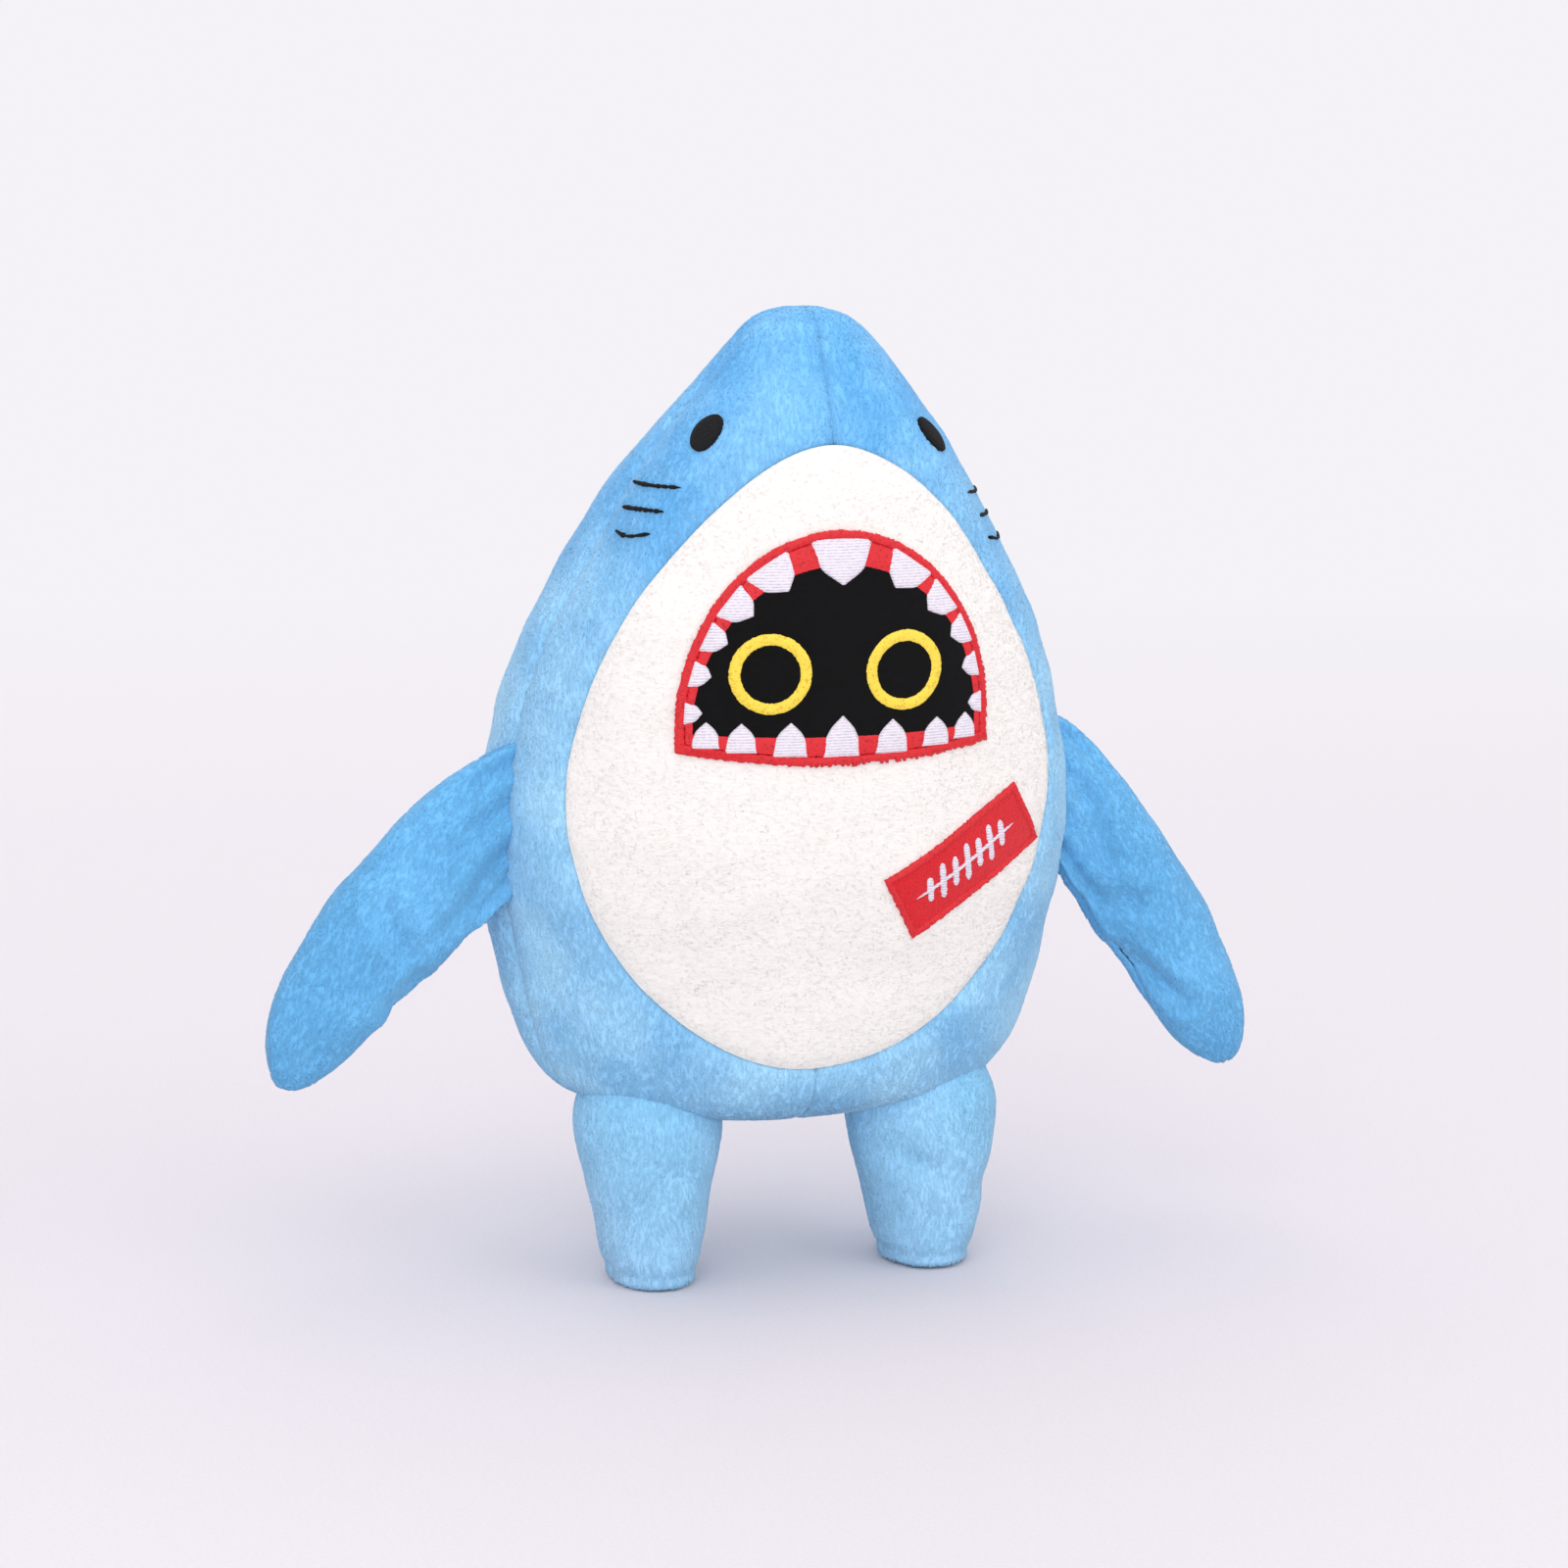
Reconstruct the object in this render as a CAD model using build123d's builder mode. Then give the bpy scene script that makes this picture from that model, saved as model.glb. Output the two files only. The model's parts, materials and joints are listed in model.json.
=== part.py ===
"""Stuffed toy shark that stands upright on two short legs.

The toy faces -Y, +Z is up, and the origin lies under the middle of its box,
on the surface it stands on.  Left and right are the toy's own.  Sizes are in
millimetres.  Heights are counted from the soles.
"""
from build123d import *
import math
import os

os.makedirs("parts", exist_ok=True)

# ---- body -------------------------------------------------------------------
body_height = 236.0      # underside to nose tip
body_width = 172.0       # at the widest section
body_depth = 122.0       # at the deepest section
body_bottom = 44.0       # height of the underside above the soles
cloth = 2.0              # short-pile plush, backing and pile together
fin_cloth = 1.6          # the same, pressed flatter on the thin fins

# Sections from the underside to the nose: share of the height, share of the
# half width, share of the half depth, and how far the centre sits back (+Y).
body_sections = [
    (0.000, 0.38, 0.30, 4.0),
    (0.030, 0.63, 0.52, 5.0),
    (0.080, 0.77, 0.69, 7.0),
    (0.190, 0.91, 0.83, 8.5),
    (0.360, 1.00, 0.98, 6.0),
    (0.500, 0.945, 1.00, 4.0),
    (0.600, 0.855, 0.98, 1.0),
    (0.700, 0.715, 0.88, -3.0),
    (0.790, 0.570, 0.73, -9.0),
    (0.880, 0.390, 0.50, -16.0),
    (0.950, 0.220, 0.28, -19.0),
    (1.000, 0.060, 0.08, -20.0),
]

# The side seam is a plane across the body: how far behind the body's axis it
# runs at the underside and at the nose tip.
seam_y_bottom = 3.0
seam_y_top = -20.0

# ---- belly panel, an egg seen from the front ---------------------------------
belly_half_width = 71.5
belly_widest_z = 143.0
belly_top_z = 241.0
belly_bottom_z = 64.0

# ---- appliqued mouth ----------------------------------------------------------
applique = 0.5           # thickness of a layer of felt or velboa on the belly
embroidery = 0.8         # height of satin stitching
mouth_half_width = 44.5
mouth_spring_z = 165.0   # the arch is a half ellipse above this height
mouth_top_z = 218.0
mouth_corner_z = 158.0
mouth_bottom_z = 154.0
mouth_border_width = 3.4
gum_side = 4.5           # width of the gum band at the sides of the arch
gum_top = 8.0            # and at its top
gum_bottom = 5.4         # and along the lower jaw, in its middle
gum_corner = 3.0         # and at its corners
tooth_root = 1.5         # how far the lower teeth's outlines reach under the border

# Upper teeth from the middle outwards: angle on the arch, base, length.
upper_teeth_sizes = [
    (0.0, 15.5, 11.5),
    (27.0, 12.5, 10.5),
    (44.5, 10.5, 9.0),
    (58.5, 8.5, 6.5),
    (72.0, 7.5, 5.5),
    (86.0, 6.5, 4.8),
]
# Lower teeth from the middle outwards: distance from the middle, base, length.
lower_teeth_sizes = [
    (0.0, 9.4, 11.2),
    (14.6, 8.6, 9.2),
    (28.0, 7.8, 7.8),
    (37.2, 6.4, 6.4),
]

ring_spacing = 37.6      # between the centres of the two stitched rings
ring_z = 179.0
ring_radius = 11.2
ring_width = 3.5

# ---- patch on the belly ---------------------------------------------------------
patch_length = 48.0
patch_height = 20.0
patch_x = 40.0
patch_z = 123.5
patch_angle = 30.0
patch_border_width = 3.0

# ---- eyes and gills ---------------------------------------------------------------
eye_x = 32.0
eye_z = 245.5
eye_length = 12.0
eye_width = 8.0
eye_tilt = 20.0
eye_slant = 0.6          # share of its width that an eye shows from straight ahead
gill_heights = [231.5, 225.0, 219.0]
gill_front = -36.0       # the stitched lines run between these two places,
gill_back = -19.0        # counted from the body's axis
gill_thickness = 1.3

# ---- side fins ----------------------------------------------------------------------
fin_root_z = 129.5
fin_root_half = 27.0     # half the length of the root seam
fin_root_thickness = 7.0
fin_reach = 63.0
fin_drop = {"left": 76.0, "right": 64.0}    # how far each tip hangs below its root
fin_sweep = 12.0         # degrees back from straight out
fin_standoff = 2.0       # hinge line outside the body's widest side
# Sections from root to tip, all parallel to the root seam: share of reach,
# share of drop, half height and half thickness.
fin_sections = [
    (0.20, 0.17, 27.0, 6.5),
    (0.41, 0.36, 26.0, 9.5),
    (0.62, 0.55, 24.5, 10.5),
    (0.78, 0.71, 21.5, 9.5),
    (0.90, 0.85, 15.5, 7.5),
    (1.00, 1.00, 6.0, 4.0),
]

# ---- legs -----------------------------------------------------------------------------
leg_x = 41.0
hip_y = -3.0             # behind the body's axis, as are the next value
foot_y = -7.0
hip_z = 50.0
hip_radius = 21.0
# Sections from sole to hip: share of the hip's height, half width, half depth.
leg_sections = [
    (0.00, 12.0, 16.8),
    (0.06, 13.6, 18.4),
    (0.24, 14.4, 18.8),
    (0.48, 15.8, 19.2),
    (0.70, 17.6, 19.5),
    (0.88, 19.2, 19.7),
    (1.00, 20.2, 20.2),
]

# ---- dorsal fin and tail ------------------------------------------------------------------
dorsal_z = 160.0
dorsal_root_half = 30.0
dorsal_root_thickness = 6.0
dorsal_reach = 33.0
dorsal_drop = 14.0
dorsal_standoff = 1.6
dorsal_sections = [
    (0.27, 0.10, 25.0, 5.5),
    (0.54, 0.34, 19.0, 6.0),
    (0.80, 0.66, 12.0, 4.8),
    (1.00, 1.00, 4.5, 3.0),
]
tail_z = 80.0
tail_root_half = 14.0
tail_root_thickness = 7.0
tail_reach = 42.0
tail_drop = -12.0        # the tail lifts towards its end
tail_standoff = 1.8
tail_sections = [
    (0.28, 0.25, 12.5, 6.0),
    (0.52, 0.50, 13.5, 7.0),
    (0.76, 0.76, 19.0, 6.0),
    (1.00, 1.00, 25.0, 3.5),
]

# ---- fits -------------------------------------------------------------------------------
running_gap = 0.35       # between a limb's root and the pocket it turns in
closing_stitch_count = 8
closing_stitch_pitch = 3.0
closing_stitch_z = 98.0
closing_stitch_length = 4.0
thread = 0.9             # how far eyes, gills and closing stitches stand out


def body_section(z):
    """Half width, half depth and setback of the body at a height."""
    share = (z - body_bottom) / body_height
    for low, high in zip(body_sections, body_sections[1:]):
        if share <= high[0]:
            part = (share - low[0]) / (high[0] - low[0])
            wide, deep, back = (low[i] + part * (high[i] - low[i]) for i in (1, 2, 3))
            break
    return wide * body_width / 2, deep * body_depth / 2, back


# Where the body's axis lies, so that the finished toy is centred on the origin.
front_reach = max(body_depth / 2 * s[2] - s[3] for s in body_sections) + applique + embroidery
dorsal_root_back = sum(body_section(dorsal_z)[1:])
dorsal_top_back = sum(body_section(dorsal_z + dorsal_root_half)[1:])
dorsal_low_back = sum(body_section(dorsal_z - dorsal_root_half)[1:])
dorsal_along = Vector(0, dorsal_top_back - dorsal_low_back, 2 * dorsal_root_half).normalized()
tail_root_back = sum(body_section(tail_z)[1:])
tail_top_back = sum(body_section(tail_z + tail_root_half)[1:])
tail_low_back = sum(body_section(tail_z - tail_root_half)[1:])
tail_along = Vector(0, tail_top_back - tail_low_back, 2 * tail_root_half).normalized()
tail_tip_half = tail_sections[-1][2]
tail_back = tail_along.Z * tail_reach + tail_along.Y * (tail_tip_half - tail_drop)
rear_reach = tail_root_back + tail_standoff + tail_back
body_y = (front_reach - rear_reach) / 2


def body_form(inset):
    """The body's outer form, moved inwards by inset, or outwards where it is negative."""
    middle = body_bottom + body_height / 2
    with BuildPart() as form:
        for rise, wide, deep, back in body_sections:
            level = middle + (rise - 0.5) * (body_height - 2 * inset)
            with BuildSketch(Plane.XY.offset(level)):
                with Locations((0, body_y + back)):
                    Ellipse(wide * (body_width / 2 - inset), deep * (body_depth / 2 - inset))
        loft()
    return form.part


def fin_form(root, outwards, along, root_half, root_half_thickness, reach, drop, sections, inset):
    """A stuffed fin: one loft from a rounded root, past its root seam, to its tip.

    root is the middle of the root seam, outwards the way the fin points and
    along the direction of the seam.
    """
    tucked = -0.6 * root_half_thickness
    shrink = 1 - inset / math.hypot(reach, drop)
    stations = [
        (tucked + 0.5 * inset, 0, 0.88 * root_half, 0.55 * root_half_thickness + 0.4 * inset),
        (0, 0, root_half, root_half_thickness),
    ]
    for out_share, drop_share, half_height, half_thickness in sections:
        out = out_share * reach * shrink
        stations.append((out, drop_share * drop * shrink, half_height, half_thickness))
    with BuildPart() as form:
        for out, down, half_height, half_thickness in stations:
            centre = root + outwards * out - along * down
            with BuildSketch(Plane(centre, x_dir=along, z_dir=outwards)):
                Ellipse(half_height - inset, half_thickness - inset)
        loft()
    return form.part


def root_pocket(root, along, root_half, root_half_thickness):
    """The round slot that a fin's root turns in, cut out of the body with its running gap."""
    with BuildPart() as pocket:
        with BuildSketch(Plane(root - along * (root_half + running_gap), z_dir=along)):
            Circle(root_half_thickness + running_gap)
        extrude(amount=2 * (root_half + running_gap))
    return pocket.part


def leg_form(x, inset):
    """A leg from its sole to the round top that turns in the hip pocket."""
    with BuildPart() as form:
        for share, half_width, half_depth in leg_sections:
            with BuildSketch(Plane.XY.offset(inset + share * (hip_z - inset))):
                with Locations((x, body_y + foot_y + share * (hip_y - foot_y))):
                    Ellipse(half_width - inset, half_depth - inset)
        loft()
        with Locations((x, body_y + hip_y, hip_z)):
            Sphere(hip_radius - inset)
    return form.part


front_plane = Plane.XZ.offset(-body_y)


def front_prism(outline):
    """A block that runs forwards from the middle of the body behind an outline in X and Z."""
    with BuildPart() as prism:
        extrude(outline, amount=body_depth)
    return prism.part


def belly_outline():
    """An egg, narrower at its top: one Bezier curve to each quarter."""
    widest = (belly_half_width, belly_widest_z)
    top = (0, belly_top_z)
    bottom = (0, belly_bottom_z)
    above = (belly_half_width, belly_widest_z + 0.43 * (belly_top_z - belly_widest_z))
    below = (belly_half_width, belly_widest_z - 0.55 * (belly_widest_z - belly_bottom_z))
    with BuildSketch(front_plane) as egg:
        with BuildLine():
            Bezier(top, (0.42 * belly_half_width, belly_top_z), above, widest)
            Bezier(widest, below, (0.48 * belly_half_width, belly_bottom_z), bottom)
            mirror(about=Plane.YZ)
        make_face()
    return egg.sketch


def mouth_outline(side=0, top=0, bottom=0, corner=0):
    """The mouth's outline, drawn in from its rim by four distances."""
    half = mouth_half_width - side
    left, right = (-half, mouth_corner_z + corner), (half, mouth_corner_z + corner)
    arch_height = mouth_top_z - top - mouth_spring_z
    with BuildSketch(front_plane) as arch:
        with BuildLine():
            EllipticalCenterArc((0, mouth_spring_z), half, arch_height, start_angle=0, arc_size=180)
            Line((-half, mouth_spring_z), left)
            ThreePointArc(left, (0, mouth_bottom_z + bottom), right)
            Line(right, (half, mouth_spring_z))
        make_face()
    return arch.sketch


def upper_teeth_outline():
    """Triangles that stand on the border's inner edge, round the arch."""
    half = mouth_half_width - mouth_border_width
    rise = mouth_top_z - mouth_border_width - mouth_spring_z
    with BuildSketch(front_plane) as triangles:
        for angle, base, length in upper_teeth_sizes:
            for side in (1, -1) if angle else (1,):
                turn = math.radians(side * angle)
                foot = Vector(half * math.sin(turn), mouth_spring_z + rise * math.cos(turn))
                run = Vector(half * math.cos(turn), -rise * math.sin(turn)).normalized()
                inwards = Vector(run.Y, -run.X)
                step = run * (base / 2)
                with BuildLine():
                    Polyline(foot - step, foot + step, foot + inwards * length, close=True)
                make_face()
    return triangles.sketch


def lower_teeth_outline():
    """Triangles that stand on the border along the lower jaw."""
    half = mouth_half_width - mouth_border_width
    sag = mouth_corner_z - mouth_bottom_z
    with BuildSketch(front_plane) as triangles:
        for distance, base, length in lower_teeth_sizes:
            foot_z = mouth_bottom_z + mouth_border_width + sag * (distance / half) ** 2
            for x in (distance, -distance) if distance else (0,):
                with BuildLine():
                    Polyline(
                        (x - base / 2, foot_z - tooth_root),
                        (x + base / 2, foot_z - tooth_root),
                        (x, foot_z + length),
                        close=True,
                    )
                make_face()
    return triangles.sketch


def rings_outline():
    with BuildSketch(front_plane) as rings:
        with Locations((-ring_spacing / 2, ring_z), (ring_spacing / 2, ring_z)):
            Circle(ring_radius)
            Circle(ring_radius - ring_width, mode=Mode.SUBTRACT)
    return rings.sketch


def patch_outline(margin=0):
    with BuildSketch(front_plane) as patch:
        with Locations((patch_x, patch_z)):
            Rectangle(patch_length - 2 * margin, patch_height - 2 * margin, rotation=patch_angle)
    return patch.sketch


def eyes_outline():
    """Two ovals that lean apart, narrowed because the face slants away from the front."""
    with BuildSketch(front_plane) as ovals:
        for side in (1, -1):
            with Locations((side * eye_x, eye_z)):
                Ellipse(eye_slant * eye_width / 2, eye_length / 2, rotation=side * eye_tilt)
    return ovals.sketch


def keep(part, name):
    """Name a finished piece and write it."""
    part.label = name
    export_step(part, f"parts/{name}.step")


# ---- forms that several pieces are cut from ------------------------------------------------
body_outer = body_form(0)
body_inner = body_form(cloth)
felt_face = body_form(-applique)
stitch_face = body_form(-applique - embroidery)
thread_face = body_form(-thread)

seam_slope = (seam_y_top - seam_y_bottom) / body_height
seam_plane = Plane(
    (0, body_y + seam_y_bottom, body_bottom), x_dir=(1, 0, 0), z_dir=(0, -1, seam_slope)
)
middle_plane = Plane.YZ
up = Vector(0, 0, 1)


def seam_y(z):
    """How far back the side seam runs at a height."""
    return body_y + seam_y_bottom + seam_slope * (z - body_bottom)


sides = {"left": 1, "right": -1}
sweep = math.radians(fin_sweep)
fins = {}
for side, sign in sides.items():
    hinge = Vector(sign * (body_section(fin_root_z)[0] + fin_standoff), seam_y(fin_root_z), fin_root_z)
    out = Vector(sign * math.cos(sweep), math.sin(sweep), 0)
    sizes = (hinge, out, up, fin_root_half, fin_root_thickness / 2)
    fins[side] = sizes
dorsal_out = Vector(0, dorsal_along.Z, -dorsal_along.Y)
dorsal_root = Vector(0, body_y + dorsal_root_back + dorsal_standoff, dorsal_z)
dorsal_sizes = (dorsal_root, dorsal_out, dorsal_along, dorsal_root_half, dorsal_root_thickness / 2)
tail_out = Vector(0, tail_along.Z, -tail_along.Y)
tail_root = Vector(0, body_y + tail_root_back + tail_standoff, tail_z)
tail_sizes = (tail_root, tail_out, tail_along, tail_root_half, tail_root_thickness / 2)

# Everything that the limbs' roots take out of the body.
with BuildPart() as pockets:
    for sizes in (*fins.values(), dorsal_sizes, tail_sizes):
        root, outwards, along, root_half, root_half_thickness = sizes
        add(root_pocket(root, along, root_half, root_half_thickness))
    for sign in sides.values():
        with Locations((sign * leg_x, body_y + hip_y, hip_z)):
            Sphere(hip_radius + running_gap)

belly_block = front_prism(belly_outline())

# ---- body ------------------------------------------------------------------------------------
with BuildPart() as body_skin:
    add(body_outer)
    add(body_inner, mode=Mode.SUBTRACT)
    add(pockets.part, mode=Mode.SUBTRACT)

for side, sign in sides.items():
    own_side = Keep.TOP if sign > 0 else Keep.BOTTOM
    with BuildPart() as front_panel:
        add(body_skin.part)
        split(bisect_by=seam_plane, keep=Keep.TOP)
        add(belly_block, mode=Mode.SUBTRACT)
        split(bisect_by=middle_plane, keep=own_side)
    keep(front_panel.part, f"body_front_{side}")
    with BuildPart() as back_panel:
        add(body_skin.part)
        split(bisect_by=seam_plane, keep=Keep.BOTTOM)
        split(bisect_by=middle_plane, keep=own_side)
    keep(back_panel.part, f"body_back_{side}")

with BuildPart() as belly_panel:
    add(body_skin.part)
    split(bisect_by=seam_plane, keep=Keep.TOP)
    add(belly_block, mode=Mode.INTERSECT)
keep(belly_panel.part, "belly_panel")

with BuildPart() as body_stuffing:
    add(body_inner)
    add(pockets.part, mode=Mode.SUBTRACT)
keep(body_stuffing.part, "body_stuffing")

with BuildPart() as thread_layer:
    add(thread_face)
    add(body_outer, mode=Mode.SUBTRACT)

with BuildPart() as ladder:
    for number in range(closing_stitch_count):
        height = closing_stitch_z + number * closing_stitch_pitch
        with Locations((0, body_y + body_depth / 2, height)):
            Box(closing_stitch_length, body_depth, thread)
with BuildPart() as closing_stitches:
    add(thread_layer.part)
    add(ladder.part, mode=Mode.INTERSECT)
keep(closing_stitches.part, "closing_stitches")

# ---- mouth -------------------------------------------------------------------------------------
mouth_block = front_prism(mouth_outline())
inner_mouth_block = front_prism(mouth_outline(*[mouth_border_width] * 4))
gum_insets = [mouth_border_width + gum for gum in (gum_side, gum_top, gum_bottom, gum_corner)]
gum_hole_block = front_prism(mouth_outline(*gum_insets))
upper_teeth_block = front_prism(upper_teeth_outline())
lower_teeth_block = front_prism(lower_teeth_outline())

with BuildPart() as felt_layer:
    add(felt_face)
    add(body_outer, mode=Mode.SUBTRACT)
    split(bisect_by=seam_plane, keep=Keep.TOP)

with BuildPart() as stitch_layer:
    add(stitch_face)
    add(felt_face, mode=Mode.SUBTRACT)
    split(bisect_by=seam_plane, keep=Keep.TOP)

with BuildPart() as mouth_lining:
    add(felt_layer.part)
    add(mouth_block, mode=Mode.INTERSECT)
keep(mouth_lining.part, "mouth_lining")

with BuildPart() as mouth_border:
    add(stitch_layer.part)
    add(mouth_block, mode=Mode.INTERSECT)
    add(inner_mouth_block, mode=Mode.SUBTRACT)
keep(mouth_border.part, "mouth_border")

with BuildPart() as gums:
    add(stitch_layer.part)
    add(inner_mouth_block, mode=Mode.INTERSECT)
    add(gum_hole_block, mode=Mode.SUBTRACT)
    add(upper_teeth_block, mode=Mode.SUBTRACT)
    add(lower_teeth_block, mode=Mode.SUBTRACT)
keep(gums.part, "gums")

for name, block in (("upper_teeth", upper_teeth_block), ("lower_teeth", lower_teeth_block)):
    with BuildPart() as teeth:
        add(stitch_layer.part)
        add(inner_mouth_block, mode=Mode.INTERSECT)
        add(block, mode=Mode.INTERSECT)
    keep(teeth.part, name)

with BuildPart() as mouth_rings:
    add(stitch_layer.part)
    add(front_prism(rings_outline()), mode=Mode.INTERSECT)
keep(mouth_rings.part, "mouth_rings")

# ---- patch ----------------------------------------------------------------------------------------
patch_block = front_prism(patch_outline())
with BuildPart() as belly_patch:
    add(felt_layer.part)
    add(patch_block, mode=Mode.INTERSECT)
keep(belly_patch.part, "belly_patch")

with BuildPart() as patch_border:
    add(stitch_layer.part)
    add(patch_block, mode=Mode.INTERSECT)
    add(front_prism(patch_outline(patch_border_width)), mode=Mode.SUBTRACT)
keep(patch_border.part, "patch_border")

# ---- eyes and gills -----------------------------------------------------------------------------------
with BuildPart() as eyes:
    add(thread_layer.part)
    split(bisect_by=seam_plane, keep=Keep.TOP)
    add(front_prism(eyes_outline()), mode=Mode.INTERSECT)
keep(eyes.part, "eyes")

gill_middle = (gill_front + gill_back) / 2
with BuildPart() as gill_slabs:
    for height in gill_heights:
        with Locations((0, body_y + gill_middle, height)):
            Box(body_width, gill_back - gill_front, gill_thickness)
with BuildPart() as gill_stitches:
    add(thread_layer.part)
    add(gill_slabs.part, mode=Mode.INTERSECT)
keep(gill_stitches.part, "gill_stitches")


# ---- fins and tail -----------------------------------------------------------------------------------------
def make_fin(name, sizes, reach, drop, sections, panel_names, facing):
    """Two panels and the stuffing of one fin, cut apart along the fin's own middle plane.

    The first panel is the one on the side that facing points to.
    """
    root, outwards, along = sizes[:3]
    outer = fin_form(*sizes, reach, drop, sections, 0)
    inner = fin_form(*sizes, reach, drop, sections, fin_cloth)
    fin_plane = Plane(root, x_dir=outwards, z_dir=facing)
    for panel_name, half in zip(panel_names, (Keep.TOP, Keep.BOTTOM)):
        with BuildPart() as panel:
            add(outer)
            add(inner, mode=Mode.SUBTRACT)
            split(bisect_by=fin_plane, keep=half)
        keep(panel.part, f"{name}_{panel_name}")
    with BuildPart() as stuffing:
        add(inner)
    keep(stuffing.part, f"{name}_stuffing")


for side, sizes in fins.items():
    facing = sizes[1].cross(up) * sides[side]
    make_fin(f"{side}_fin", sizes, fin_reach, fin_drop[side], fin_sections, ("front", "back"), facing)
leftwards = Vector(1, 0, 0)
make_fin(
    "dorsal_fin", dorsal_sizes, dorsal_reach, dorsal_drop, dorsal_sections, ("left", "right"), leftwards
)
make_fin("tail", tail_sizes, tail_reach, tail_drop, tail_sections, ("left", "right"), leftwards)

# ---- legs --------------------------------------------------------------------------------------------------
for side, sign in sides.items():
    outer = leg_form(sign * leg_x, 0)
    inner = leg_form(sign * leg_x, cloth)
    leg_seam_plane = Plane((0, body_y + hip_y, hip_z), x_dir=(1, 0, 0), z_dir=(0, -1, 0))
    sole_plane = Plane.XY.offset(cloth)
    for panel_name, half in (("front", Keep.TOP), ("back", Keep.BOTTOM)):
        with BuildPart() as leg_panel:
            add(outer)
            add(inner, mode=Mode.SUBTRACT)
            split(bisect_by=sole_plane, keep=Keep.TOP)
            split(bisect_by=leg_seam_plane, keep=half)
        keep(leg_panel.part, f"{side}_leg_{panel_name}")
    with BuildPart() as sole:
        add(outer)
        split(bisect_by=sole_plane, keep=Keep.BOTTOM)
    keep(sole.part, f"{side}_sole")
    with BuildPart() as leg_stuffing:
        add(inner)
    keep(leg_stuffing.part, f"{side}_leg_stuffing")
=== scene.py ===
"""The finish of a stuffed toy shark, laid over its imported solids.

The toy faces -Y, +Z is up, and left and right are the toy's own.  Shapes are
worked out in millimetres and go into their meshes in metres.
"""
import json

import bpy
import numpy as np
from bpy.props import FloatProperty, PointerProperty, StringProperty
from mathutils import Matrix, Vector


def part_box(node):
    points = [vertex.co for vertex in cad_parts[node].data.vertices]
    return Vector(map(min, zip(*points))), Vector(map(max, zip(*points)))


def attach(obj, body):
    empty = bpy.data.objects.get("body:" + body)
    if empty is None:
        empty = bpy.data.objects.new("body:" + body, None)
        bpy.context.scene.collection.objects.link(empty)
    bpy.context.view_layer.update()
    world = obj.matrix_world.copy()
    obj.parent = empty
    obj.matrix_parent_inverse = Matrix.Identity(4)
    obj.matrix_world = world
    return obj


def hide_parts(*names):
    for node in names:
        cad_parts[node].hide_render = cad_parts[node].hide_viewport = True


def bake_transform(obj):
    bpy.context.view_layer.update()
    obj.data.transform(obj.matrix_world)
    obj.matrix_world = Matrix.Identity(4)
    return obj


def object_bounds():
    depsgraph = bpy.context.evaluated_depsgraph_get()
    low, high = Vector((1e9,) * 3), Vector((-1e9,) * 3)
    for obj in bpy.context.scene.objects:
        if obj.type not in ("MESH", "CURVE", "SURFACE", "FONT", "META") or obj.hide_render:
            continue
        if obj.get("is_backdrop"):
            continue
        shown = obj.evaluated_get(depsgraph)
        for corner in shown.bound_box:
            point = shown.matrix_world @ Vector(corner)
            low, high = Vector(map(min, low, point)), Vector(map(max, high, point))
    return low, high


bl_info = {
    "name": "Plush Shark",
    "version": (1, 0, 0),
    "blender": (4, 5, 0),
    "location": "3D View > Sidebar > Plush Shark",
    "description": "Builds the covers, embroidery and stuffing of a plush shark",
    "category": "Add Mesh",
}

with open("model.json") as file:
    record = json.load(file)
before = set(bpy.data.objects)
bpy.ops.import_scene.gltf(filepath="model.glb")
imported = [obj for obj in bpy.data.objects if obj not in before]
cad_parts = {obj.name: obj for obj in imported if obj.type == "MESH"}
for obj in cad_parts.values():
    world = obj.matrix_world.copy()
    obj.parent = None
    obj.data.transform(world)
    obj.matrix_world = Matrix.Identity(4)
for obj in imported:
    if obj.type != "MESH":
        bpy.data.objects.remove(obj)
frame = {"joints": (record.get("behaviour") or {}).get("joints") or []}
cad_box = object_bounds()
hinges = {joint["name"]: joint for joint in frame["joints"]}


def box_of(*nodes):
    """Lowest and highest corner of some CAD nodes together, in millimetres."""
    corners = [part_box(node) for node in nodes]
    low = np.min([np.array(corner[0]) for corner in corners], axis=0)
    high = np.max([np.array(corner[1]) for corner in corners], axis=0)
    return low * 1000, high * 1000


def hinge_place(name):
    """Where a hinge is, in millimetres, and which way its axis points."""
    axis = np.array(hinges[name]["axis"], float)
    return np.array(hinges[name]["pos_m"]) * 1000, axis / np.linalg.norm(axis)


# ---- sizes and colours that a user may change ----


def length(name, millimetres, description):
    """A length property whose default is given in millimetres."""
    default = millimetres / 1000
    return FloatProperty(name=name, default=default, unit="LENGTH", description=description)


def colour(name, hex_code, description):
    """A colour property, kept as its sRGB hex code."""
    return StringProperty(name=name, default=hex_code, description=description)


class PlushSharkSizes(bpy.types.PropertyGroup):
    """Sizes of the cloth, its pile and its stitching."""

    pile_length: length("Pile length", 1.25, "Length of a tuft of the blue pile")
    pile_spacing: length("Pile spacing", 0.8, "Distance between tufts of the blue pile")
    belly_pile_length: length("Belly pile length", 0.6, "Length of a tuft of the white pile")
    cloth: length("Cloth", 1.5, "Thickness of a cover panel without its pile")
    seam_depth: length("Seam depth", 2.2, "How far a seam sinks between its panels")
    thread_pitch: length("Thread pitch", 0.7, "Distance between the threads of satin stitch")
    lump_height: length("Lump height", 0.9, "How uneven the stuffing makes the covers")


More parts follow.
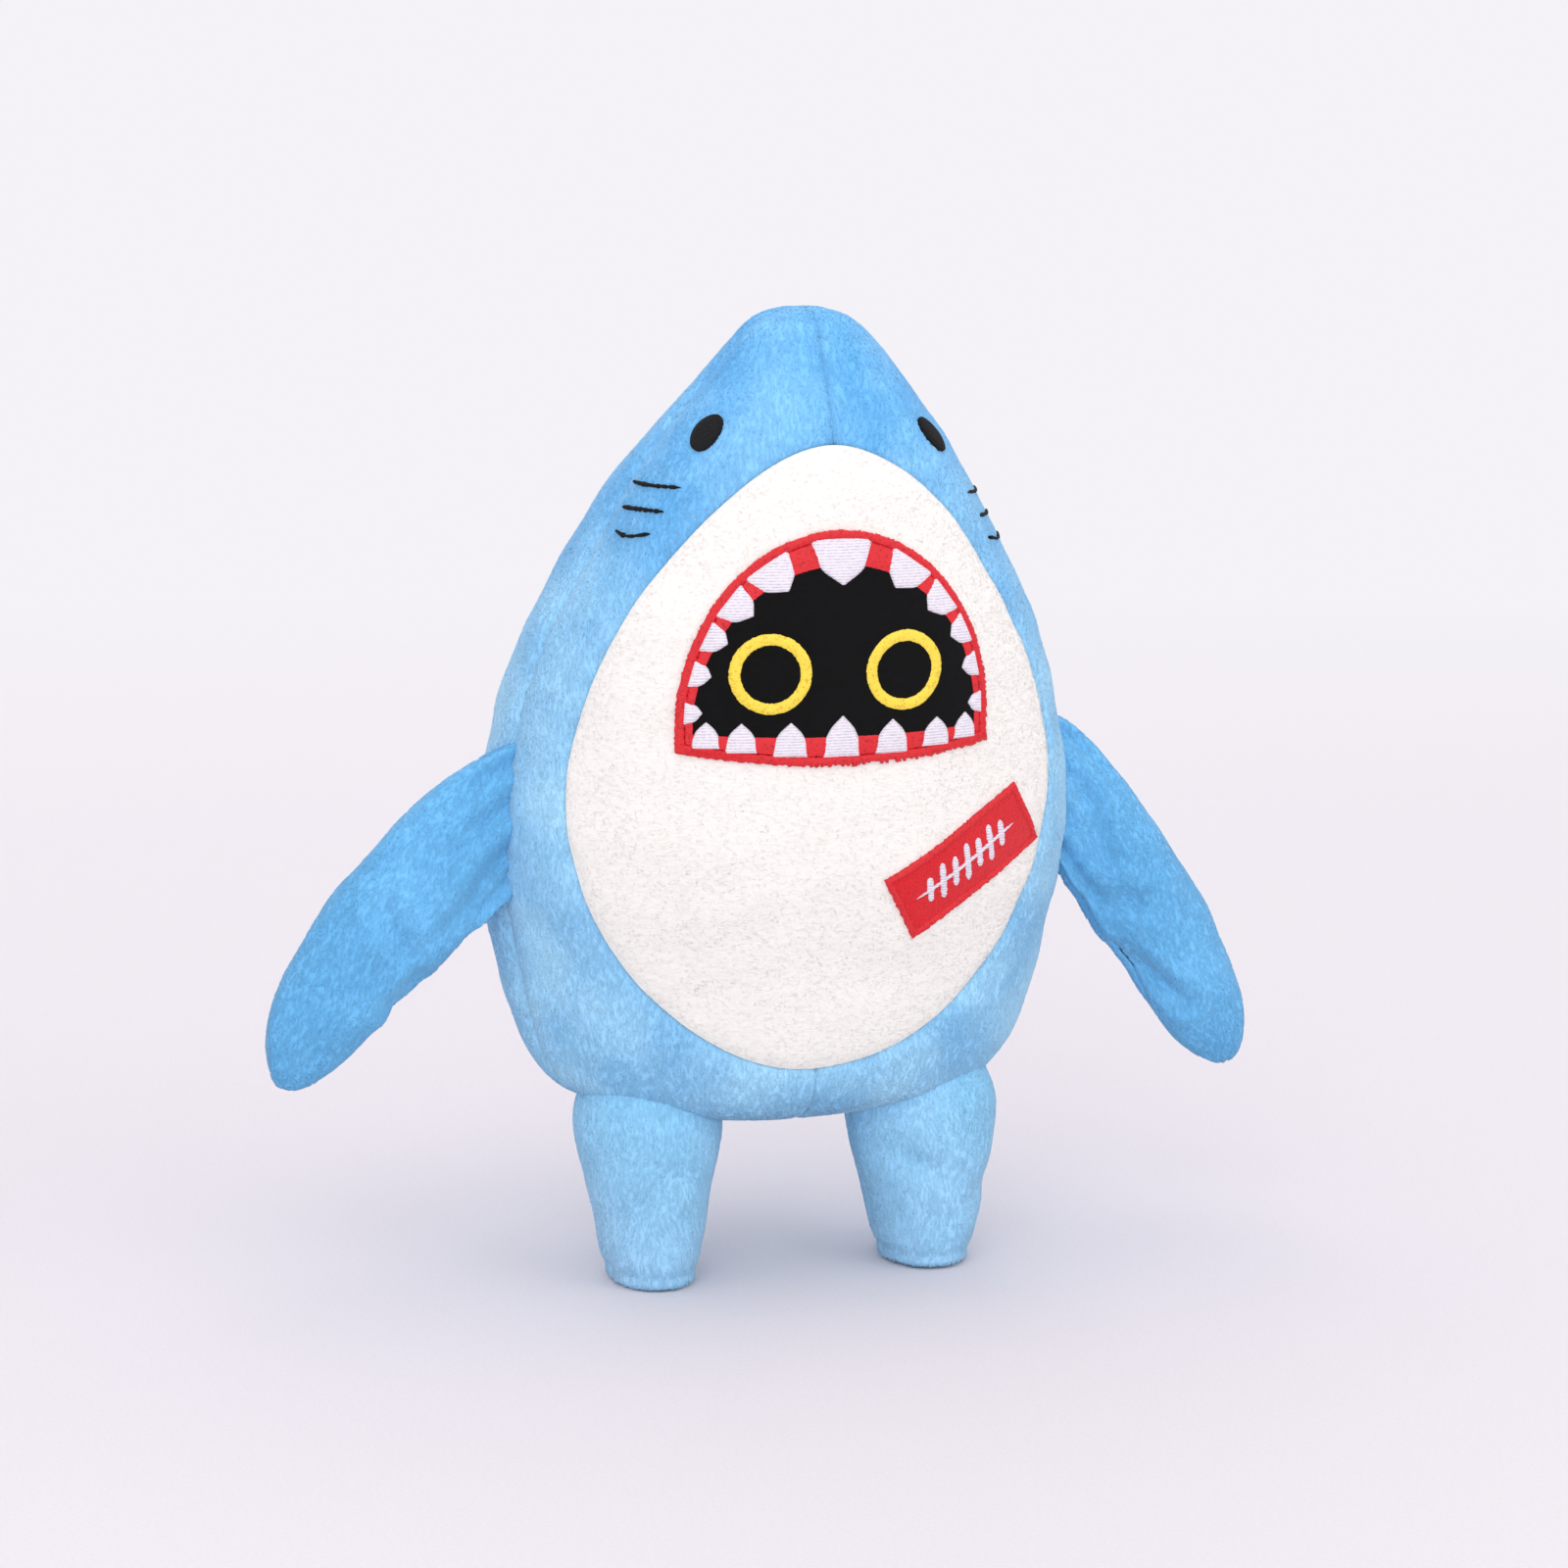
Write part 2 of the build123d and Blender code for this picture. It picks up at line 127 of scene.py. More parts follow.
class PlushSharkColours(bpy.types.PropertyGroup):
    """Colours as sRGB hex codes."""

    blue: colour("Blue plush", "#6CBFF9", "Pile of the head, back and fins")
    # The next colour is painted light: the same blue pile, painted lighter low on the body.
    painted_lit_blue: colour("Light blue plush", "#AEE3FF", "Same pile brushed upwards, low on the body")
    leg: colour("Leg plush", "#96DAFF", "Same pile on the legs, in the middle of its two shades")
    fin: colour("Fin plush", "#70BFF2", "Same pile on the fins, brushed towards their tips")
    white: colour("White velboa", "#F7F6EF", "Belly panel")
    black: colour("Black velboa", "#070708", "Inside of the mouth")
    red: colour("Red thread", "#DF222B", "Border, gums and patch border")
    felt: colour("Red felt", "#E6222C", "Patch")
    tooth: colour("White thread", "#F1ECF4", "Teeth")
    yellow: colour("Yellow thread", "#FBE04E", "Rings")
    ink: colour("Black thread", "#08080A", "Eyes and gills")
    fibre: colour("Fibre", "#F2F1EE", "Stuffing")
    paper: colour("Paper", "#DFDBDE", "Floor and backdrop")


def size_of(name):
    """One of the user's sizes, in millimetres."""
    return getattr(bpy.context.scene.plush_shark_sizes, name) * 1000


# ---- curves and grids ----


def smooth_run(at, knots, values):
    """A curve through values that never overshoots them: a cubic between each two
    knots, whose slope at a knot is the harmonic mean of the slopes on its two sides.
    """
    knots, values = np.asarray(knots, float), np.asarray(values, float)
    step = np.diff(knots)
    rise = np.diff(values) / step
    both = rise[:-1] * rise[1:] > 0
    total = np.where(both, rise[:-1] + rise[1:], 1)
    middle = np.where(both, 2 * rise[:-1] * rise[1:] / total, 0)
    slope = np.concatenate([rise[:1], middle, rise[-1:]])
    at = np.clip(at, knots[0], knots[-1])
    part = np.clip(np.searchsorted(knots, at, side="right") - 1, 0, len(step) - 1)
    t = (at - knots[part]) / step[part]
    start = (2 * t**3 - 3 * t**2 + 1) * values[part]
    start = start + (t**3 - 2 * t**2 + t) * step[part] * slope[part]
    end = (3 * t**2 - 2 * t**3) * values[part + 1] + (t**3 - t**2) * step[part] * slope[part + 1]
    return start + end


def smooth_step(value):
    """0 below 0, 1 above 1 and a soft s between: 3v^2 - 2v^3."""
    value = np.clip(value, 0, 1)
    return value * value * (3 - 2 * value)


def lumps(points, size, seed):
    """Soft unevenness from -1 to 1: the mean of seven sine waves that cross the
    points in seeded directions, each about one size long, spread to fill the range.
    """
    rng = np.random.default_rng(seed)
    ways = rng.normal(size=(7, 3))
    long = np.linalg.norm(ways, axis=1)[:, None]
    ways *= (2 * np.pi / size) * rng.uniform(0.7, 1.4, (7, 1)) / long
    return np.clip(np.sin(points @ ways.T + rng.uniform(0, 6.28, 7)).mean(axis=-1) * 2, -1, 1)


def net(rows, columns, closed=False, first_pole=False, last_pole=False):
    """Triangles of a grid of rows times columns vertices, numbered along its rows.

    closed joins each row's end to its start, and a pole makes one vertex of a row.
    """
    number = np.arange(rows * columns).reshape(rows, columns)
    if first_pole:
        number[0] = number[0, 0]
    if last_pole:
        number[-1] = number[-1, 0]
    if closed:
        number = np.hstack([number, number[:, :1]])
    a, b, c, d = number[:-1, :-1], number[:-1, 1:], number[1:, 1:], number[1:, :-1]
    faces = np.concatenate([np.stack([a, b, c], -1), np.stack([a, c, d], -1)]).reshape(-1, 3)
    whole = (faces != np.roll(faces, 1, axis=1)).all(axis=1)
    return faces[whole]


def used_only(points, faces, *values):
    """The same surface without the vertices that no face uses."""
    kept, renumbered = np.unique(faces, return_inverse=True)
    return [points[kept], renumbered.reshape(-1, 3), *(value[kept] for value in values)]


def unit(vectors):
    """Vectors divided by their lengths."""
    return vectors / np.maximum(np.linalg.norm(vectors, axis=-1, keepdims=True), 1e-9)


def normals_of(points, faces):
    """Each vertex's normal: the sum of its faces' normals, each as long as its area."""
    a, b, c = (points[faces[:, corner]] for corner in range(3))
    across = np.cross(b - a, c - a)
    total = [
        sum(np.bincount(faces[:, corner], across[:, axis], len(points)) for corner in range(3))
        for axis in range(3)
    ]
    return unit(np.stack(total, -1))


def faced(points, faces, middle):
    """The faces turned, if need be, so that they look away from middle."""
    outwards = (normals_of(points, faces) * (points - middle)).sum()
    return faces if outwards > 0 else faces[:, ::-1]


def outward(points, faces):
    """The faces of a closed surface turned, if need be, to enclose a positive volume,
    a sixth of the sum of (a x b) . c over its triangles.
    """
    a, b, c = (points[faces[:, corner]] for corner in range(3))
    return faces if (np.cross(a, b) * c).sum() > 0 else faces[:, ::-1]


def way_along(path):
    """Length of the way along a path's points from its first point to each."""
    return np.concatenate([[0], np.cumsum(np.linalg.norm(np.diff(path, axis=0), axis=1))])


def at_ways(at, way, path):
    """Points of a flat path at lengths of the way along it."""
    return np.stack([np.interp(at, way, path[:, axis]) for axis in (0, 1)], -1)


def with_tone_and_shade(points, faces, tone_and_shade):
    """A surface with its own normals and an even nap, or one for each vertex."""
    return points, faces, normals_of(points, faces), np.broadcast_to(tone_and_shade, len(points))


def spread(x, y, z):
    """Points from three arrays, each repeated as far as the others reach."""
    return np.stack(np.broadcast_arrays(x, y, z), -1)


def closed_form(rings, tone_and_shade=1.0):
    """A closed surface over rows of points that are rings, the first and the last of
    them drawn together in one point.
    """
    points = rings.reshape(-1, 3)
    faces = net(*rings.shape[:2], closed=True, first_pole=True, last_pole=True)
    points, faces = used_only(points, outward(points, faces))
    return with_tone_and_shade(points, faces, tone_and_shade)


def shell(points, faces, wall):
    """A closed wall under an open surface: its copy, moved in by wall along the
    normals and turned round, and a rim that joins the two along every open edge.
    """
    count = len(points)
    normals = normals_of(points, faces)
    inner, inwards = points - normals * wall, -normals
    starts, ends = faces.ravel(), np.roll(faces, -1, axis=1).ravel()
    lone = ~np.isin(starts * count + ends, ends * count + starts)
    s, e = starts[lone], ends[lone]
    inwards[s] = normals[s]   # so that the rim is shaded like the surface it ends
    rim = np.concatenate([
        np.stack([e, s, s + count], -1), np.stack([e, s + count, e + count], -1)
    ])
    everything = np.concatenate([faces, faces[:, ::-1] + count, rim])
    return np.concatenate([points, inner]), everything, np.concatenate([normals, inwards])


def pile(points, faces, normals, comb, long, spacing, seed, seam_shade, unrest=0.3):
    """Tufts of pile on a surface: slim closed tetrahedra that lie along comb.

    Feet are spread evenly by area, one to each spacing squared.  A tuft runs from
    its foot along comb, turned by a random angle, whose spread in radians is unrest,
    and by slow brushed patches, and rises from the cloth by 0.1 to 0.3 of its length.
    The value it gives each vertex goes from 0.1 at a foot to 1 at a tip: painted shade at the
    roots, with a random tone for each tuft, less the painted shade of a seam.
    """
    rng = np.random.default_rng(seed)
    a, b, c = (points[faces[:, corner]] for corner in range(3))
    area = np.linalg.norm(np.cross(b - a, c - a), axis=1) / 2
    total = np.cumsum(area)
    count = int(total[-1] / spacing**2)
    face = np.searchsorted(total, rng.random(count) * total[-1]).clip(0, len(faces) - 1)
    s, t = rng.random((2, count, 1))
    over = s + t > 1
    s, t = np.where(over, 1 - s, s), np.where(over, 1 - t, t)

    def at_feet(values):
        """Values of the vertices, mixed in each foot's triangle."""
        first, second, third = (values[faces[face, corner]] for corner in range(3))
        return first * (1 - s - t) + second * s + third * t

    foot = at_feet(points)
    up = unit(at_feet(normals))
    way = np.broadcast_to(comb, foot.shape)
    flow = unit(way - up * (way * up).sum(-1, keepdims=True) + 1e-6)
    side = np.cross(up, flow)
    turn = rng.normal(0, unrest, (count, 1)) + 0.2 * lumps(foot, 26, seed + 5)[:, None]
    cos, sin = np.cos(turn), np.sin(turn)
    flow, side = flow * cos + side * sin, side * cos - flow * sin
    reach = long * rng.uniform(0.7, 1.25, (count, 1))
    rise = rng.uniform(0.1, 0.3, (count, 1))
    half = 0.28 * long
    tip = foot + flow * reach * np.sqrt(1 - rise**2) + up * reach * rise
    root = 0.25   # how far a foot's two lower corners go into the cloth
    corners = [
        foot - side * half - up * root,
        foot + side * half - up * root,
        foot + up * half - flow * half,
        tip,
    ]
    # The tufts' normals stay near the cloth's, so that the pile is shaded softly.
    leans = [up - 0.2 * side, up + 0.2 * side, up - 0.1 * flow, up + 0.2 * flow]
    # painted shade: the tufts' feet are darker than their tips, and darker where a seam's painted
    # shade lies; tone also differs at random from tuft to tuft
    tone = rng.random(count) - 3.0 * at_feet(seam_shade[:, None])[:, 0]
    shades = [0.1 + 0.3 * tone, 0.1 + 0.3 * tone, 0.3 + 0.35 * tone, 0.55 + 0.45 * tone]
    first = np.arange(count)[:, None] * 4
    shape = np.array([[0, 2, 3], [2, 1, 3], [1, 0, 3], [0, 1, 2]])
    corners = np.stack(corners, 1)
    shape = outward(corners[0], shape)
    return (
        corners.reshape(-1, 3),
        (first[:, None] + shape).reshape(-1, 3),
        unit(np.stack(leans, 1).reshape(-1, 3)),
        np.stack(shades, 1).ravel(),
    )


def joined(*surfaces):
    """Several surfaces, each points, faces, normals and nap, as one."""
    first = np.cumsum([0] + [len(surface[0]) for surface in surfaces])
    faces = np.concatenate([surface[1] + start for surface, start in zip(surfaces, first)])
    points, normals, tone_and_shade = (np.concatenate([s[i] for s in surfaces]) for i in (0, 2, 3))
    return points, faces, normals, tone_and_shade


def new_piece(name, surface, finish, replaced=(), body="body", between=None):
    """Puts a surface into a new mesh, with its normals, its tone and shade values and its finish:
    it rides on a body, or, given between, stays where it is with no parent, and it hides the CAD
    nodes it stands for.
    """
    points, faces, normals, tone_and_shade = surface
    mesh = bpy.data.meshes.new(name)
    mesh.vertices.add(len(points))
    mesh.vertices.foreach_set("co", (points / 1000).astype(np.float32).ravel())
    mesh.loops.add(faces.size)
    mesh.loops.foreach_set("vertex_index", faces.astype(np.int32).ravel())
    mesh.polygons.add(len(faces))
    mesh.polygons.foreach_set("loop_start", np.arange(0, faces.size, 3, dtype=np.int32))
    mesh.update(calc_edges=True)
    mesh.polygons.foreach_set("use_smooth", np.ones(len(faces), bool))
    mesh.normals_split_custom_set_from_vertices(normals.astype(np.float32))
    mesh.attributes.new("tone_and_shade", "FLOAT", "POINT").data.foreach_set("value", tone_and_shade.astype(np.float32))
    piece = bpy.data.objects.new(name, mesh)
    bpy.context.scene.collection.objects.link(piece)
    mesh.materials.append(finish_of(finish))
    if replaced:
        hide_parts(*replaced)
    if between:
        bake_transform(piece)
    else:
        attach(piece, body)


# ---- the body's form ----

sizes_of_body = box_of("body_front_left", "body_front_right", "body_back_left", "body_back_right")
body_half_width = sizes_of_body[1][0]
body_half_depth = 61.0
body_bottom = sizes_of_body[0][2]
body_height = sizes_of_body[1][2] - body_bottom - 2.7   # the nose is pressed flat at its seams
axis_y = hinge_place("left_hip")[0][1] + 3.0

# From the underside to the nose: share of the height, of the half width and of the
# half depth, setback of the middle in millimetres, and squareness of the front.
body_rows = np.array([
    (0.000, 0.00, 0.00, 4.0, 2.0),
    (0.030, 0.66, 0.53, 5.0, 2.0),
    (0.081, 0.82, 0.70, 7.0, 2.0),
    (0.192, 0.93, 0.84, 8.5, 2.0),
    (0.364, 1.00, 0.98, 6.0, 2.05),
    (0.506, 0.945, 1.00, 4.0, 2.1),
    (0.607, 0.855, 0.98, 1.0, 2.15),
    (0.708, 0.715, 0.88, -3.0, 2.25),
    (0.799, 0.565, 0.73, -9.0, 2.4),
    (0.890, 0.378, 0.49, -16.0, 2.5),
    (0.951, 0.247, 0.32, -18.6, 2.4),
    (0.986, 0.155, 0.20, -19.7, 2.2),
    (1.000, 0.00, 0.00, -20.0, 2.0),
])
body_knots = np.arccos(1 - 2 * body_rows[:, 0]) / np.pi


def body_section(lift):
    """Half width, half depth, middle and squareness of the body at lift, which goes
    from 0 under the body to 1 at the nose: height = (1 - cos(pi lift)) / 2.
    """
    wide, deep, back, square = (
        smooth_run(lift, body_knots, body_rows[:, i]) for i in (1, 2, 3, 4)
    )
    return wide * body_half_width, deep * body_half_depth, axis_y + back, square


def body_at(theta, lift):
    """Points of the body at an angle round its axis, 0 in front and positive to the
    left, and a lift.  The radius is (|cos/b|^n + |sin/a|^n)^(-1/n), with a and b the
    half width and half depth; n is 2, an ellipse, but squarer in the front third.
    """
    wide, deep, middle, square = body_section(lift)
    power = 2 + (square - 2) * smooth_step(np.cos(theta) / 0.5)
    thin = 1e-4
    across = np.abs(np.sin(theta)) / np.maximum(wide, thin)
    along = np.abs(np.cos(theta)) / np.maximum(deep, thin)
    radius = (across**power + along**power) ** (-1 / power)
    height = body_bottom + body_height * (1 - np.cos(np.pi * lift)) / 2
    return np.stack([radius * np.sin(theta), middle - radius * np.cos(theta), height], -1)


def lift_of(height):
    """The lift at a height: the angle whose cosine is 1 - 2 share, divided by pi."""
    return np.arccos(np.clip(1 - 2 * (height - body_bottom) / body_height, -1, 1)) / np.pi


def stuffed(points):
    """How far the stuffing pushes the covers out at these points: large soft lumps
    and, at less than half their height, smaller ones.
    """
    return size_of("lump_height") * (0.7 * lumps(points, 52, 3) + 0.3 * lumps(points, 21, 4))


def on_front(x, z, rise=0.0):
    """Points on the front of the body over x and z, raised by rise along its normal.

    The body's front lies at middle - b (1 - |x / a|^n)^(1/n), with a and b the half
    width and half depth, and the normal comes from its slopes over 1 mm.
    """

    def depth(x, z):
        wide, deep, middle, square = body_section(lift_of(z))
        share = np.clip(1 - np.abs(x / wide) ** square, 0.02, 1)
        return middle - deep * share ** (1 / square)

    x, z = np.broadcast_arrays(np.asarray(x, float), np.asarray(z, float))
    points = np.stack([x, depth(x, z), z], -1)
    tilt_x = depth(x + 0.5, z) - depth(x - 0.5, z)
    tilt_z = depth(x, z + 0.5) - depth(x, z - 0.5)
    normals = unit(np.stack([tilt_x, -np.ones_like(x), tilt_z], -1))
    flat = points.reshape(-1, 3)
    return points + normals * (stuffed(flat).reshape(x.shape) + rise)[..., None]


# The body's front unrolled: across is the angle times the half width, and up is the
# length of the way up the side from the underside.
ladder = np.linspace(0, 1, 900)
ladder_wide = body_section(ladder)[0]
ladder_height = body_height * (1 - np.cos(np.pi * ladder)) / 2
ladder_steps = np.hypot(np.diff(ladder_wide), np.diff(ladder_height))
ladder_up = np.concatenate([[0], np.cumsum(ladder_steps)])
belly_low, belly_high = box_of("belly_panel")
belly_widest = 143.0
belly_middle = 152.0
body_core = np.array([0, axis_y, 150.0])   # a point inside the body


def unrolled(theta, lift):
    """Across and up of a point of the body in its unrolled front."""
    return theta * np.interp(lift, ladder, ladder_wide), np.interp(lift, ladder, ladder_up)


def rolled_up(across, up):
    """The angle and the lift that a point of the unrolled front comes from."""
    lift = np.interp(up, ladder_up, ladder)
    wide = np.interp(lift, ladder, ladder_wide)
    return np.clip(across / np.maximum(wide, 0.05), -np.pi, np.pi), lift


def bezier(points, count=200):
    """A cubic: the sum of its four points times (1-t)^3, 3t(1-t)^2, 3t^2(1-t), t^3."""
    t = np.linspace(0, 1, count)[:, None]
    a, b, c, d = (np.array(point, float) for point in points)
    return a * (1 - t) ** 3 + 3 * b * t * (1 - t) ** 2 + 3 * c * t**2 * (1 - t) + d * t**3


def belly_edge():
    """The left half of the belly panel's egg from its top to its bottom, x and z."""
    half, top, bottom, widest = belly_high[0], belly_high[2], belly_low[2], belly_widest
    above, below = widest + 0.43 * (top - widest), widest - 0.55 * (widest - bottom)
    upper = bezier([(0, top), (0.42 * half, top), (half, above), (half, widest)])
    lower = bezier([(half, widest), (half, below), (0.48 * half, bottom), (0, bottom)])
    return np.concatenate([upper, lower[1:]])


def side_seam_angle(lift):
    """Angle of the side seam, where a plane that leans forwards cuts the body: the
    angle whose tangent is a sqrt(1 - q^2) / (b q), q the plane's share of the depth b.
    """
    wide, deep, middle, _ = body_section(lift)
    seam = axis_y + 3.0 - 23.0 * (1 - np.cos(np.pi * lift)) / 2
    share = np.clip((middle - seam) / np.maximum(deep, 1), -0.6, 0.6)
    return np.arctan2(wide * np.sqrt(1 - share**2), deep * share + 1e-6)


def panel_polar():
    """Distance of the belly's edge and of the side seam from the belly's middle, in
    the unrolled front, as functions of the angle from straight up.
    """
    edge = belly_edge()
    lift = lift_of(edge[:, 1])
    wide, deep, _, square = body_section(lift)
    forward = deep * np.clip(1 - (np.abs(edge[:, 0]) / wide) ** square, 0, 1) ** (1 / square)
    egg = unrolled(np.arctan2(edge[:, 0], forward), lift)
    seam = unrolled(side_seam_angle(ladder), ladder)
    middle = np.interp(lift_of(belly_middle), ladder, ladder_up)
    tables = [
        (np.arctan2(across, up - middle), np.hypot(across, up - middle))
        for across, up in (egg, (seam[0][::-1], seam[1][::-1]))
    ]
    return middle, tables


def seam_dip(distance, run, depth, width=2.6, tug=0.5):
    """How far a seam pulls the cover in, at a distance d from it: depth e^(-d / width)
    (1 + tug w), where w is the sum of two sine waves along run, 7.3 and 4.1 mm long.
    """
    wave = 0.22 * np.sin(run * 2 * np.pi / 7.3) + 0.12 * np.sin(run * 2 * np.pi / 4.1 + 1)
    return depth * np.exp(-distance / width) * (1 + tug * wave)


def cover(points, faces, middle, dip, seed, comb=(0, 0, -1), seam_shade=None, wall=1.0,
          long=None, spacing=None, **more):
    """A cover panel: its surface moved by the stuffing and its seams, its wall and its
    pile.  The seams' painted shade, from 0 to 1, darkens the cloth and its tufts where a seam
    holds the pile down, and wall is a share of the cloth's thickness.
    """
    faces = faced(points, faces, middle)
    normals = normals_of(points, faces)
    points = points + normals * (stuffed(points) - dip)[:, None]
    seam_shade = np.zeros(len(points)) if seam_shade is None else seam_shade
    points, faces, seam_shade = used_only(points, faces, seam_shade)
    solid = shell(points, faces, size_of("cloth") * wall)
    # painted shade: the cloth under the tufts is darker than their tips, and darker still along
    # seams
    tone_and_shade = np.tile(0.25 - 1.25 * seam_shade, 2)
    tufts = pile(
        points, faces, normals_of(points, faces), comb, long or size_of("pile_length"),
        spacing or size_of("pile_spacing"), seed, seam_shade, **more,
    )
    return joined((*solid, tone_and_shade), tufts)


# ---- materials ----


def linear(hex_code):
    """An sRGB hex code as linear red, green, blue and an alpha of 1."""
    parts = [int(hex_code[i : i + 2], 16) / 255 for i in (1, 3, 5)]
    return (*[p / 12.92 if p < 0.04045 else ((p + 0.055) / 1.055) ** 2.4 for p in parts], 1.0)


def add_node(tree, kind, inputs=(), **settings):
    """Adds a node, sets it up, and links or fills its inputs, which are given by name
    or number, or in order.  A node given as an input is linked from its first output.
    """
    made = tree.nodes.new(kind)
    for name, value in settings.items():
        setattr(made, name, value)
    for socket, value in inputs.items() if isinstance(inputs, dict) else enumerate(inputs):
        if isinstance(value, bpy.types.Node):
            value = value.outputs[0]
        if isinstance(value, bpy.types.NodeSocket):
            tree.links.new(value, made.inputs[socket])
        else:
            made.inputs[socket].default_value = value
    return made


def new_material(name):
    """A material with no nodes but its Object coordinates and its nap."""
    material = bpy.data.materials.new(name)
    material.use_nodes = True
    tree = material.node_tree
    tree.nodes.clear()
    place = add_node(tree, "ShaderNodeTexCoord").outputs["Object"]
    tone_and_shade = add_node(tree, "ShaderNodeAttribute", attribute_name="tone_and_shade").outputs["Fac"]
    return material, tree, place, tone_and_shade


def finish_material(tree, factor, first, second, height, depth, **sockets):
    """A Principled surface whose colour goes from first to second, two hex codes, by a
    factor, with bumps depth metres high.  A first of None takes factor as the colour.
    """
    if first:
        inputs = {0: factor, 6: linear(first), 7: linear(second)}
        factor = add_node(tree, "ShaderNodeMix", inputs, data_type="RGBA").outputs[2]
    bump = add_node(tree, "ShaderNodeBump", {"Height": height, "Distance": depth, "Strength": 1.0})
    inputs = {name.replace("_", " "): value for name, value in sockets.items()}
    inputs |= {"Base Color": factor, "Normal": bump}
    surface = add_node(tree, "ShaderNodeBsdfPrincipled", inputs)
    add_node(tree, "ShaderNodeOutputMaterial", {"Surface": surface})


def knitted_minky(name, deep_hex, light_hex, painted_light_heights):
    """Polyester minky plush, warp knitted and sheared: soft, dull, with a pale bloom
    where the pile is seen from its side, and darker and lighter brushed patches.
    The last argument gives the two heights, in metres, between which the pile turns from light to
    deep:
    painted light and shade, the pile lighter low down and deeper higher up.
    """
    material, tree, place, tone_and_shade = new_material(name)
    height = add_node(tree, "ShaderNodeSeparateXYZ", [place]).outputs["Z"]
    # Brushed patches are about 30 mm wide.
    inputs = {"Vector": place, "Scale": 1 / 0.03, "Detail": 3.0}
    patches = add_node(tree, "ShaderNodeTexNoise", inputs)
    # The grain is that of fibres combed down: 0.7 mm apart and 1.8 mm long.
    inputs = {"Vector": place, "Scale": (1400.0, 1400.0, 560.0)}
    combed = add_node(tree, "ShaderNodeMapping", inputs)
    fine = add_node(tree, "ShaderNodeTexNoise", {"Vector": combed, "Scale": 1.0, "Detail": 2.0})
    # painted light and shade by height: lighter low down, deeper higher up
    upper = add_node(tree, "ShaderNodeMapRange", (height, *painted_light_heights, 0.3, 0.85))
    strokes = add_node(tree, "ShaderNodeMapRange", (patches, 0.36, 0.64, -0.2, 0.2))
    deep = add_node(tree, "ShaderNodeMath", (upper, strokes), operation="ADD")
    inputs = {0: deep, 6: linear(light_hex), 7: linear(deep_hex)}
    base = add_node(tree, "ShaderNodeMix", inputs, data_type="RGBA").outputs[2]
    # shade multiplies brushed patches, the tufts' random tone with the painted shade at their
    # roots, fine grain, and the painted shade along seams
    shade = 1.0
    for value, *span in (
        (patches, 0.36, 0.64, 1.05, 0.95),
        (tone_and_shade, 0.0, 1.0, 0.98, 1.05),
        (fine, 0.3, 0.7, 0.96, 1.04),
        (tone_and_shade, -1.0, 0.0, 0.55, 1.0),   # below 0: painted shade where a seam holds the pile down
    ):
        part = add_node(tree, "ShaderNodeMapRange", (value, *span))
        shade = add_node(tree, "ShaderNodeMath", (shade, part), operation="MULTIPLY")
    tinted = add_node(tree, "ShaderNodeVectorMath", {0: base, "Scale": shade}, operation="SCALE")
    finish_material(
        tree, tinted, None, None, fine, 0.0002,
        Roughness=0.85, Sheen_Weight=0.2, Sheen_Roughness=0.45, Specular_IOR_Level=0.2,
    )
    return material


def sheared_velboa(name, hex_code, shade_hex, bloom=0.15):
    """Velboa, a very short sheared polyester pile: almost flat, dull, with fine level
    rows from its knitting, 0.7 mm apart and broken every 2.4 mm.
    """
    material, tree, place, tone_and_shade = new_material(name)
    rows = add_node(tree, "ShaderNodeMapping", {"Vector": place, "Scale": (420.0, 420.0, 1500.0)})
    fine = add_node(tree, "ShaderNodeTexNoise", {"Vector": rows, "Scale": 1.0, "Detail": 2.0})
    streaks = add_node(tree, "ShaderNodeMapRange", (fine, 0.3, 0.7))
    # the knitting's rows, and the painted shade at the roots of the tufts
    both = add_node(tree, "ShaderNodeMath", (streaks, tone_and_shade), operation="ADD")
    factor = add_node(tree, "ShaderNodeMapRange", (both, 0.1, 1.0))
    finish_material(
        tree, factor, shade_hex, hex_code, fine, 0.0001,
        Roughness=0.9, Sheen_Weight=bloom, Sheen_Roughness=0.5, Specular_IOR_Level=0.2,
    )
    return material


def satin_thread(name, hex_code, shade_hex, rows=False, shine=0.32):
    """Rayon embroidery thread in satin stitch: smooth threads side by side that give
    a soft gloss, with painted shade in darker lines where they meet.  rows adds the level rows of
    a filled shape, drawn 0.8 mm apart, a little coarser than sewn, so that they show, with painted
    shade between them.
    """
    material, tree, place, tone_and_shade = new_material(name)
    inputs = {"Vector": place, "Scale": 1100.0, "Detail": 1.0}
    height = dashes = add_node(tree, "ShaderNodeTexNoise", inputs)
    if rows:
        # A wave texture's bands are 2 pi / (20 scale) apart.
        scale = 2 * np.pi / (20 * 0.0008)
        inputs = {"Vector": place, "Scale": scale, "Distortion": 1.2, "Detail": 2.0}
        height = add_node(tree, "ShaderNodeTexWave", inputs, bands_direction="Z").outputs["Fac"]
    height = add_node(tree, "ShaderNodeMath", (height, dashes), operation="ADD")
    line = add_node(tree, "ShaderNodeMapRange", (height, 0.35, 1.0))
    # painted shade in the lines between threads and between rows, with random dashes
    dark = add_node(tree, "ShaderNodeMath", (line, tone_and_shade), operation="MULTIPLY")
    factor = add_node(tree, "ShaderNodeMapRange", (dark, 0.1, 0.7))
    finish_material(
        tree, factor, shade_hex, hex_code, height, 0.00015,
        Roughness=1 - shine * 1.6, Specular_IOR_Level=0.4,
    )
    return material


